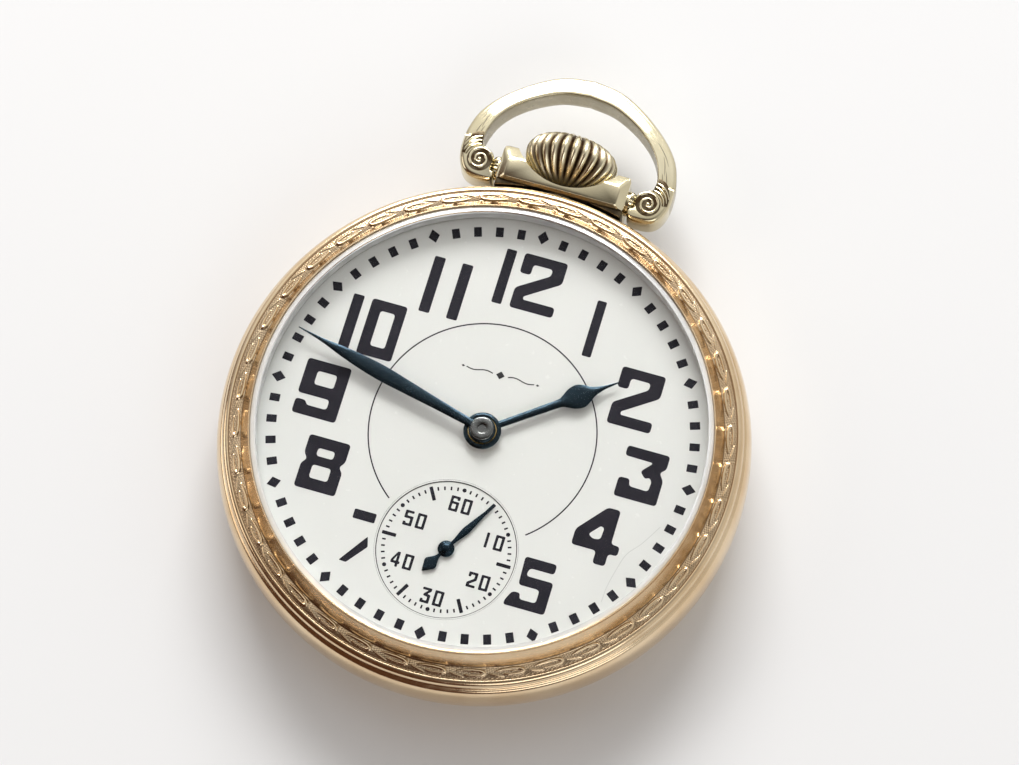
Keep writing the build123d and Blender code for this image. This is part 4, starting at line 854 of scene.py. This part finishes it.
# blocky figures in a unit box: outlines, holes, and how far each corner is rounded
FIGURES = {
    "1": [[(0, 0), (0, 1), (1, 1), (1, 0)]],
    "2": [[(0, .636), (0, 1), (1, 1), (1, .62), (.245, .24), (.255, .185), (1, .185), (1, 0), (0, 0),
           (0, .36), (.705, .71),
           (.705, .83), (.255, .83), (.255, .636)]],
    "3": [[(0, 1), (1, 1), (1, .73), (.87, .643), (1, .5), (1, 0), (0, 0), (0, .375), (.26, .385),
           (.28, .245), (.735, .235),
           (.75, .43), (.68, .5), (.59, .457), (.435, .571), (.68, .79), (0, .80)]],
    "4": [[(.53, 1), (.805, 1), (.805, .40), (1, .395), (1, .225), (.805, .225), (.805, 0), (.54, 0),
           (.54, .225), (0, .225), (0, .50)],
          [(.50, .66), (.575, .63), (.56, .43), (.40, .41), (.29, .47)]],
    "5": [[(.18, 1), (.96, 1), (.96, .80), (.36, .80), (.325, .64), (1, .64), (1, 0), (0, 0), (0, .09),
           (.12, .29), (.31, .29),
           (.33, .175), (.73, .175), (.73, .44), (.21, .44)]],
    "8": [[(0, 1), (1, 1), (1, .65), (.89, .543), (1, .45), (1, 0), (0, 0), (0, .45), (.11, .543), (0, .65)],
          [(.29, .79), (.70, .79), (.70, .64), (.29, .64)],
          [(.28, .47), (.73, .47), (.73, .22), (.28, .22)]],
    "9": [[(0, 1), (1, 1), (1, 0), (0, 0), (0, .26), (.22, .26), (.28, .185), (.73, .185), (.73, .365),
           (0, .365)],
          [(.29, .815), (.735, .815), (.735, .57), (.29, .57)]],
    "0": [[(0, 1), (1, 1), (1, 0), (0, 0)], [(.31, .82), (.725, .82), (.725, .19), (.31, .19)]],
}
# figure, left, right, bottom, top on the dial
HOURS = [
    ("1", -2.98, -2.00, 12.71, 18.30), ("2", -1.20, 3.07, 12.71, 18.36),
    ("1", 6.81, 7.72, 9.95, 15.69),
    ("2", 10.94, 15.21, 4.26, 10.04),
    ("3", 13.57, 17.72, -2.42, 2.66),
    ("4", 11.10, 15.60, -9.33, -3.73),
    ("5", 6.65, 10.62, -15.42, -10.42),
    ("8", -15.66, -11.60, -9.91, -4.62),
    ("9", -18.06, -13.72, -3.01, 2.57),
    ("1", -15.79, -14.72, 4.26, 9.92), ("0", -13.92, -10.42, 4.26, 9.95),
    ("1", -9.43, -8.36, 9.95, 15.69), ("1", -6.67, -5.60, 9.95, 15.69),
]
loops = []
for figure, left, right, bottom, top in HOURS:
    for number, part in enumerate(FIGURES[figure]):
        scaled = [(left + x * (right - left), bottom + y * (top - bottom)) for x, y in part]
        soft = 0.16 if figure == "1" else (0.34 if number == 0 else 0.3)
        loops.append(rounded(scaled, soft))
# the seven is cut by the seconds dial: a bar and a slanting stroke are left of it
loops.append(rounded([(-9.39, -11.36), (-9.39, -10.42), (-7.23, -10.42), (-7.23, -11.36)], 0.15))
loops.append(rounded([(-7.42, -12.72), (-7.14, -13.7), (-8.70, -15.66), (-9.42, -15.62)], 0.12))
outline_piece("dial_hours", loops, DIAL, ink)

loops = []
for minute in range(60):
    angle = math.radians(90 - 6 * minute)
    radial = np.array([math.cos(angle), math.sin(angle)])
    across = np.array([-math.sin(angle), math.cos(angle)])
    if minute % 5:
        corners = [(19.60, -0.375), (20.58, -0.375), (20.58, 0.375), (19.60, 0.375)]
        loops.append(rounded([radial * r + across * t for r, t in corners], 0.05, 2))
    else:
        corners = [(19.56, 0), (20.24, -0.56), (20.96, 0), (20.24, 0.56)]
        loops.append(rounded([radial * r + across * t for r, t in corners], 0.04, 2))
outline_piece("dial_minutes", loops, DIAL, ink)


def strip(points, width):
    """Outline of a line of even width."""
    p = np.asarray(points, float)
    d = np.gradient(p, axis=0)
    d /= np.linalg.norm(d, axis=1)[:, None]
    n = np.column_stack([-d[:, 1], d[:, 0]]) * width / 2
    return np.vstack([p + n, (p - n)[::-1]])


start, stop = math.atan2(-8.43, 6.72), math.atan2(-8.55, -6.58) + TAU
arc = [(10.83 * math.cos(t), 10.83 * math.sin(t)) for t in np.linspace(start, stop, 240)]
outline_piece("dial_circle", [strip(arc, 0.13)], DIAL, ink)

# small ornament between the hour circle and the hands
loops = [rounded([(-0.42, 5.9), (0, 6.3), (0.42, 5.9), (0, 5.5)], 0.05)]
for side in (1, -1):
    line = [(side * (0.75 + 2.6 * s), 5.9 + 0.12 * math.sin(math.pi * 2 * s)) for s in np.linspace(0, 1, 24)]
    loops.append(strip(line, 0.11))
    loops.append(rounded([(side * 3.5, 5.9), (side * 3.68, 6.02), (side * 3.86, 5.9), (side * 3.68, 5.78)],
                         0.02))
outline_piece("dial_ornament", loops, DIAL, fine_ink)

# faint hairline in the enamel between four and five
crack = smooth_line([(18.7, -4.2), (17.5, -6.2), (16.4, -7.6), (15.9, -9.2), (15.5, -11.1), (15.4, -12.7)],
                    8)
outline_piece("dial_hairline", [strip(crack, 0.06)], DIAL, hairline)

# seconds dial
SX, SY, SZ = 0.0, -11.85, DIAL - 0.12
loops, bars = [], []
for second in range(60):
    angle = math.radians(90 - 6 * second)
    c, s = math.cos(angle), math.sin(angle)
    if second % 10 == 5:
        lo, hi, wide = 4.92, 6.30, 0.34
        target = bars
    elif second % 10 == 0:
        x, y, dot = SX + 5.98 * c, SY + 5.98 * s, 0.2
        bars.append([(x + dot * math.cos(t), y + dot * math.sin(t)) for t in np.linspace(0, TAU, 17)[:-1]])
        continue
    else:
        lo, hi, wide = 5.78, 6.14, 0.16
        target = loops
    corners = [(lo, -wide / 2), (hi, -wide / 2), (hi, wide / 2), (lo, wide / 2)]
    outline = [(SX + r * c - t * s, SY + r * s + t * c) for r, t in corners]
    target.append(rounded(outline, 0.06 if wide > 0.2 else 0.02, 2))
outline_piece("seconds_bars", bars, SZ, ink)
outline_piece("seconds_ticks", loops, SZ, ink)

# light squarish figures in a unit box
SMALL = {
    "0": [[(0, 0), (0, 1), (1, 1), (1, 0)], [(.30, .84), (.70, .84), (.70, .16), (.30, .16)]],
    "1": [[(.38, 0), (.38, 1), (.68, 1), (.68, 0)]],
    "2": [[(0, .68), (0, 1), (1, 1), (1, .52), (.33, .22), (.33, .165), (1, .165), (1, 0), (0, 0), (0, .30),
           (.70, .60), (.70, .84), (.29, .84), (.29, .68)]],
    "3": [[(0, 1), (1, 1), (1, .80), (.62, .62), (1, .56), (1, 0), (0, 0), (0, .27), (.29, .27), (.29, .165),
           (.70, .165), (.70, .42), (.22, .46),
           (.22, .58), (.66, .84), (0, .84)]],
    "4": [[(.54, 1), (.84, 1), (.84, .38), (1, .38), (1, .215), (.84, .215), (.84, 0), (.55, 0), (.55, .215),
           (0, .215), (0, .42)],
          [(.55, .74), (.55, .38), (.27, .38)]],
    "5": [[(0, 1), (.95, 1), (.95, .84), (.29, .84), (.29, .65), (1, .65), (1, 0), (0, 0), (0, .26),
           (.29, .26), (.29, .165), (.70, .165), (.70, .48),
           (0, .48)]],
    "6": [[(0, 1), (1, 1), (1, .74), (.71, .74), (.71, .84), (.29, .84), (.29, .64), (1, .64), (1, 0),
           (0, 0)],
          [(.29, .48), (.71, .48), (.71, .16), (.29, .16)]],
}
loops = []
for text, px, py in (
    ("60", 0.05, 4.50), ("10", 3.98, 1.96), ("20", 3.78, -2.12),
    ("30", 0.05, -4.74), ("40", -3.68, -2.16), ("50", -3.68, 1.96),
):
    for k, figure in enumerate(text):
        left, foot = SX + px + (-1.04 if k == 0 else 0.17), SY + py - 0.76
        for number, part in enumerate(SMALL[figure]):
            loops.append(rounded([(left + x * 0.88, foot + y * 1.5) for x, y in part],
                                 0.09 if number == 0 else 0.07, 3))
outline_piece("seconds_figures", loops, SZ, ink)

# soft bevel where the seconds dial is let into the dial, in the dark print colour: painted shade along the
# step
ring = Shape()
ring.turned([(6.58, SZ + 0.006), (6.66, SZ + 0.03), (6.72, SZ + 0.09), (6.80, DIAL + 0.006),
             (6.70, DIAL - 0.03),
             (6.62, SZ - 0.03)], 240, (SX, SY))
ring.make("seconds_edge", fine_ink, "case", "dial_enamel", sharp=80)


# ------------------------------------------------------------------ hands

def hand(stations, angle, low, thick, pivot, hub, bore, crown_up=0.10):
    """A hand with a domed back at a clock angle: stations are (distance, half width) along it."""
    shape = Shape()
    line = smooth_line(stations, 6)
    cross = np.linspace(-1, 1, 9)
    rows = []
    for x, w in line:
        w = max(w, 0.02)
        top = [(x, v * w, low + thick + crown_up * min(1.0, w / 0.4) * (1 - v * v)) for v in cross]
        bottom = [(x, v * w * 0.96, low) for v in cross[::-1]]
        rows.append(top + bottom)
    pts = np.array(rows)
    turn = math.radians(90 - angle)
    c, s = math.cos(turn), math.sin(turn)
    x, y = pts[..., 0].copy(), pts[..., 1].copy()
    pts[..., 0], pts[..., 1] = pivot[0] + x * c - y * s, pivot[1] + x * s + y * c
    shape.grid(pts, wrap_columns=True, caps=True)
    boss = [(bore, low - 0.02), (hub - 0.06, low - 0.02), (hub, low + 0.06),
            (hub - 0.02, low + thick + 0.02),
            (hub - 0.14, low + thick + 0.10), (hub - 0.3, low + thick + 0.13),
            (bore + 0.06, low + thick + 0.13),
            (bore, low + thick + 0.08)]
    shape.turned(boss, 96, pivot)
    return shape


HOUR_BLADE = [(1.4, 0.33), (3.5, 0.34), (6.0, 0.37), (7.7, 0.40), (8.3, 0.62), (8.9, 0.98), (9.5, 1.16),
              (10.0, 1.15),
        (10.6, 0.86), (11.2, 0.48), (12.2, 0.19), (13.1, 0.10), (13.7, 0.05)]
MINUTE_BLADE = [(0.95, 0.40), (2.0, 0.42), (5.4, 0.54), (8.5, 0.68), (10.8, 0.77), (12.8, 0.72),
                (15.0, 0.54),
          (17.4, 0.22), (19.0, 0.10), (20.3, 0.045)]
SECONDS_BLADE = [(0.3, 0.13), (1.2, 0.2), (2.4, 0.36), (3.2, 0.32), (4.6, 0.2), (6.15, 0.06)]
SECONDS_TAIL = [(0.3, 0.16), (1.0, 0.18), (1.5, 0.42), (2.0, 0.67), (2.5, 0.42), (3.08, 0.03)]

hour = hand(HOUR_BLADE, 53.7, 9.98, 0.16, (0, 0), 1.8, 1.36)
hour.make("hour_hand_spade", blued, "hour_work", "blued_steel", ("hour_hand",), sharp=40)
minute = hand(MINUTE_BLADE, 284.0, 10.42, 0.12, (0, 0), 1.3, 0.93, 0.08)
minute.make("minute_hand_leaf", blued, "cannon", "blued_steel", ("minute_hand",), sharp=40)
seconds = hand(SECONDS_BLADE, 30.5, 9.5, 0.08, (SX, SY), 0.8, 0.28, 0.06)
tail = hand(SECONDS_TAIL, 210.5, 9.5, 0.08, (SX, SY), 0.8, 0.28, 0.05)
blade = tail.verts[0]
seconds.add(blade, [f for f in tail.faces if max(f) < len(blade)])
# domed cap over the seconds pivot
cap = [(0.02, 9.86), (0.25, 9.85), (0.45, 9.8), (0.58, 9.72), (0.62, 9.62), (0.6, 9.56)]
seconds.turned(cap, 48, (SX, SY), closed=False)
seconds.make("seconds_hand_leaf", blued, "fourth", "blued_steel", ("seconds_hand",), sharp=40)

# polished head of the cannon pinion, with the arbor's end sunk in it
head = [(0.54, 7.9), (1.0, 7.9), (0.9, 8.2), (0.9, 10.6), (1.1, 10.66), (1.13, 10.72), (1.13, 10.86),
        (1.08, 10.94), (0.95, 10.98), (0.55, 10.98),
        (0.46, 10.94), (0.44, 10.85), (0.54, 10.6)]
shape = Shape()
shape.turned(head, 96)
for angle in np.arange(12) * TAU / 12:
    outward = np.array([math.cos(angle), math.sin(angle)])
    sideways = np.array([-math.sin(angle), math.cos(angle)])
    corners = [(0.85, -0.16), (1.1, -0.08), (1.1, 0.08), (0.85, 0.16)]
    prism(shape, [outward * r + sideways * t for r, t in corners], 7.88, 8.16)
shape.make("cannon_head", dark_steel, "cannon", "steel", ("cannon_pinion",), sharp=35)


# ------------------------------------------------------------------ stage, light, camera

def build_floor():
    """Pale paper under the watch; from below it is clear, and light from below passes it."""
    reach, level = 3, -2e-5
    plane = bpy.data.meshes.new("floor")
    corners = [(-reach, -reach, level), (reach, -reach, level), (reach, reach, level),
               (-reach, reach, level)]
    plane.from_pydata(corners, [], [(0, 1, 2, 3)])
    floor = bpy.data.objects.new("floor", plane)
    bpy.context.scene.collection.objects.link(floor)
    material, tree, bsdf = nodes_of("floor_paper")
    cloud = texture(tree, 6.0, 3.0)
    tree.links.new(mix(tree, cloud, (0.715, 0.72, 0.73), (0.74, 0.745, 0.75)), bsdf.inputs["Base Color"])
    bsdf.inputs["Roughness"].default_value = 0.8
    clear = tree.nodes.new("ShaderNodeBsdfTransparent")
    side = tree.nodes.new("ShaderNodeNewGeometry")
    blend = tree.nodes.new("ShaderNodeMixShader")
    out = next(n for n in tree.nodes if n.type == "OUTPUT_MATERIAL")
    path = tree.nodes.new("ShaderNodeLightPath")
    short = math_node(tree, "LESS_THAN", path.outputs["Ray Length"], MM)
    near = math_node(tree, "MULTIPLY", path.outputs["Is Glossy Ray"], short)
    passing = math_node(tree, "MAXIMUM", path.outputs["Is Shadow Ray"], near)
    clear_for = math_node(tree, "MAXIMUM", side.outputs["Backfacing"], passing)
    tree.links.new(clear_for, blend.inputs[0])
    tree.links.new(bsdf.outputs[0], blend.inputs[1])
    tree.links.new(clear.outputs[0], blend.inputs[2])
    tree.links.new(blend.outputs[0], out.inputs[0])
    plane.materials.append(material)


def build_world():
    """A window, a paler east side and a warm dusk that the metal mirrors; the camera sees plain pale grey."""
    world = bpy.data.worlds.new("studio")
    bpy.context.scene.world = world
    world.use_nodes = True
    tree = world.node_tree
    background = next(n for n in tree.nodes if n.type == "BACKGROUND")
    coords = tree.nodes.new("ShaderNodeTexCoord")

    def towards(direction, stops):
        dot = tree.nodes.new("ShaderNodeVectorMath")
        dot.operation = "DOT_PRODUCT"
        dot.inputs[1].default_value = Vector(direction).normalized()
        tree.links.new(coords.outputs["Generated"], dot.inputs[0])
        share = math_node(tree, "MULTIPLY", math_node(tree, "ADD", dot.outputs["Value"], 1.0), 0.5)
        return ramp(tree, share, stops)

    window = towards((-0.2, 0.85, 0.45), [(0.68, 0.0), (0.88, 1.0)])
    east = towards((0.95, 0.15, 0.28), [(0.72, 0.0), (0.95, 1.0)])
    dusk = towards((-0.62, -0.75, 0.1), [(0.52, 0.0), (0.82, 1.0)])
    glow = mix(tree, window, (0.19, 0.187, 0.178), (0.98, 0.98, 0.97))
    glow = mix(tree, east, glow, (0.72, 0.71, 0.69))
    glow = mix(tree, dusk, glow, (0.095, 0.042, 0.022))
    tree.links.new(glow, background.inputs[0])
    background.inputs[1].default_value = 1.0
    path = tree.nodes.new("ShaderNodeLightPath")
    plain = tree.nodes.new("ShaderNodeBackground")
    plain.inputs[0].default_value = (0.86, 0.86, 0.86, 1)
    blend = tree.nodes.new("ShaderNodeMixShader")
    out = next(n for n in tree.nodes if n.type == "OUTPUT_WORLD")
    tree.links.new(path.outputs["Is Camera Ray"], blend.inputs[0])
    tree.links.new(background.outputs[0], blend.inputs[1])
    tree.links.new(plain.outputs[0], blend.inputs[2])
    tree.links.new(blend.outputs[0], out.inputs[0])


def lamp(name, place, size, power, colour=(1, 1, 1)):
    """A soft lamp aimed at the middle of the watch; place and size in metres."""
    data = bpy.data.lights.new(name, "AREA")
    data.shape = "RECTANGLE"
    data.size, data.size_y = size
    data.energy = power
    data.color = colour
    light = bpy.data.objects.new(name, data)
    bpy.context.scene.collection.objects.link(light)
    light.location = place
    light.rotation_euler = (-Vector(place)).to_track_quat("-Z", "Y").to_euler()


build_floor()
build_world()
lamp("window", (-0.16, 0.66, 0.52), (0.55, 0.36), 7.9, (1.0, 0.995, 0.985))
lamp("front_fill", (0.35, -0.5, 0.5), (0.5, 0.35), 1.1, (0.98, 0.99, 1.0))
lamp("side_fill", (-0.6, -0.1, 0.35), (0.35, 0.35), 0.6, (1.0, 0.97, 0.93))
lamp("under", (0.15, -0.25, -0.5), (0.5, 0.5), 1.2)

bpy.context.scene.view_settings.view_transform = "Standard"
# the photograph's view, 0.4 m away and about 17 degrees from square to the dial
CAMERA_PLACE = Vector((45.4515, -100.9351, 384.2566))
CAMERA_TURN = Matrix((
    (0.957546, -0.265098, 0.113261),
    (0.286481, 0.918870, -0.271303),
    (-0.032150, 0.292233, 0.955807),
))
camera_data = bpy.data.cameras.new("camera")
camera_data.lens = 145.99
camera_data.sensor_width = 36.0
camera_data.clip_start = 0.01
camera = bpy.data.objects.new("camera", camera_data)
bpy.context.scene.collection.objects.link(camera)
camera.matrix_world = Matrix.Translation(CAMERA_PLACE * MM) @ CAMERA_TURN.to_4x4()
bpy.context.scene.camera = camera

bpy.context.view_layer.update()
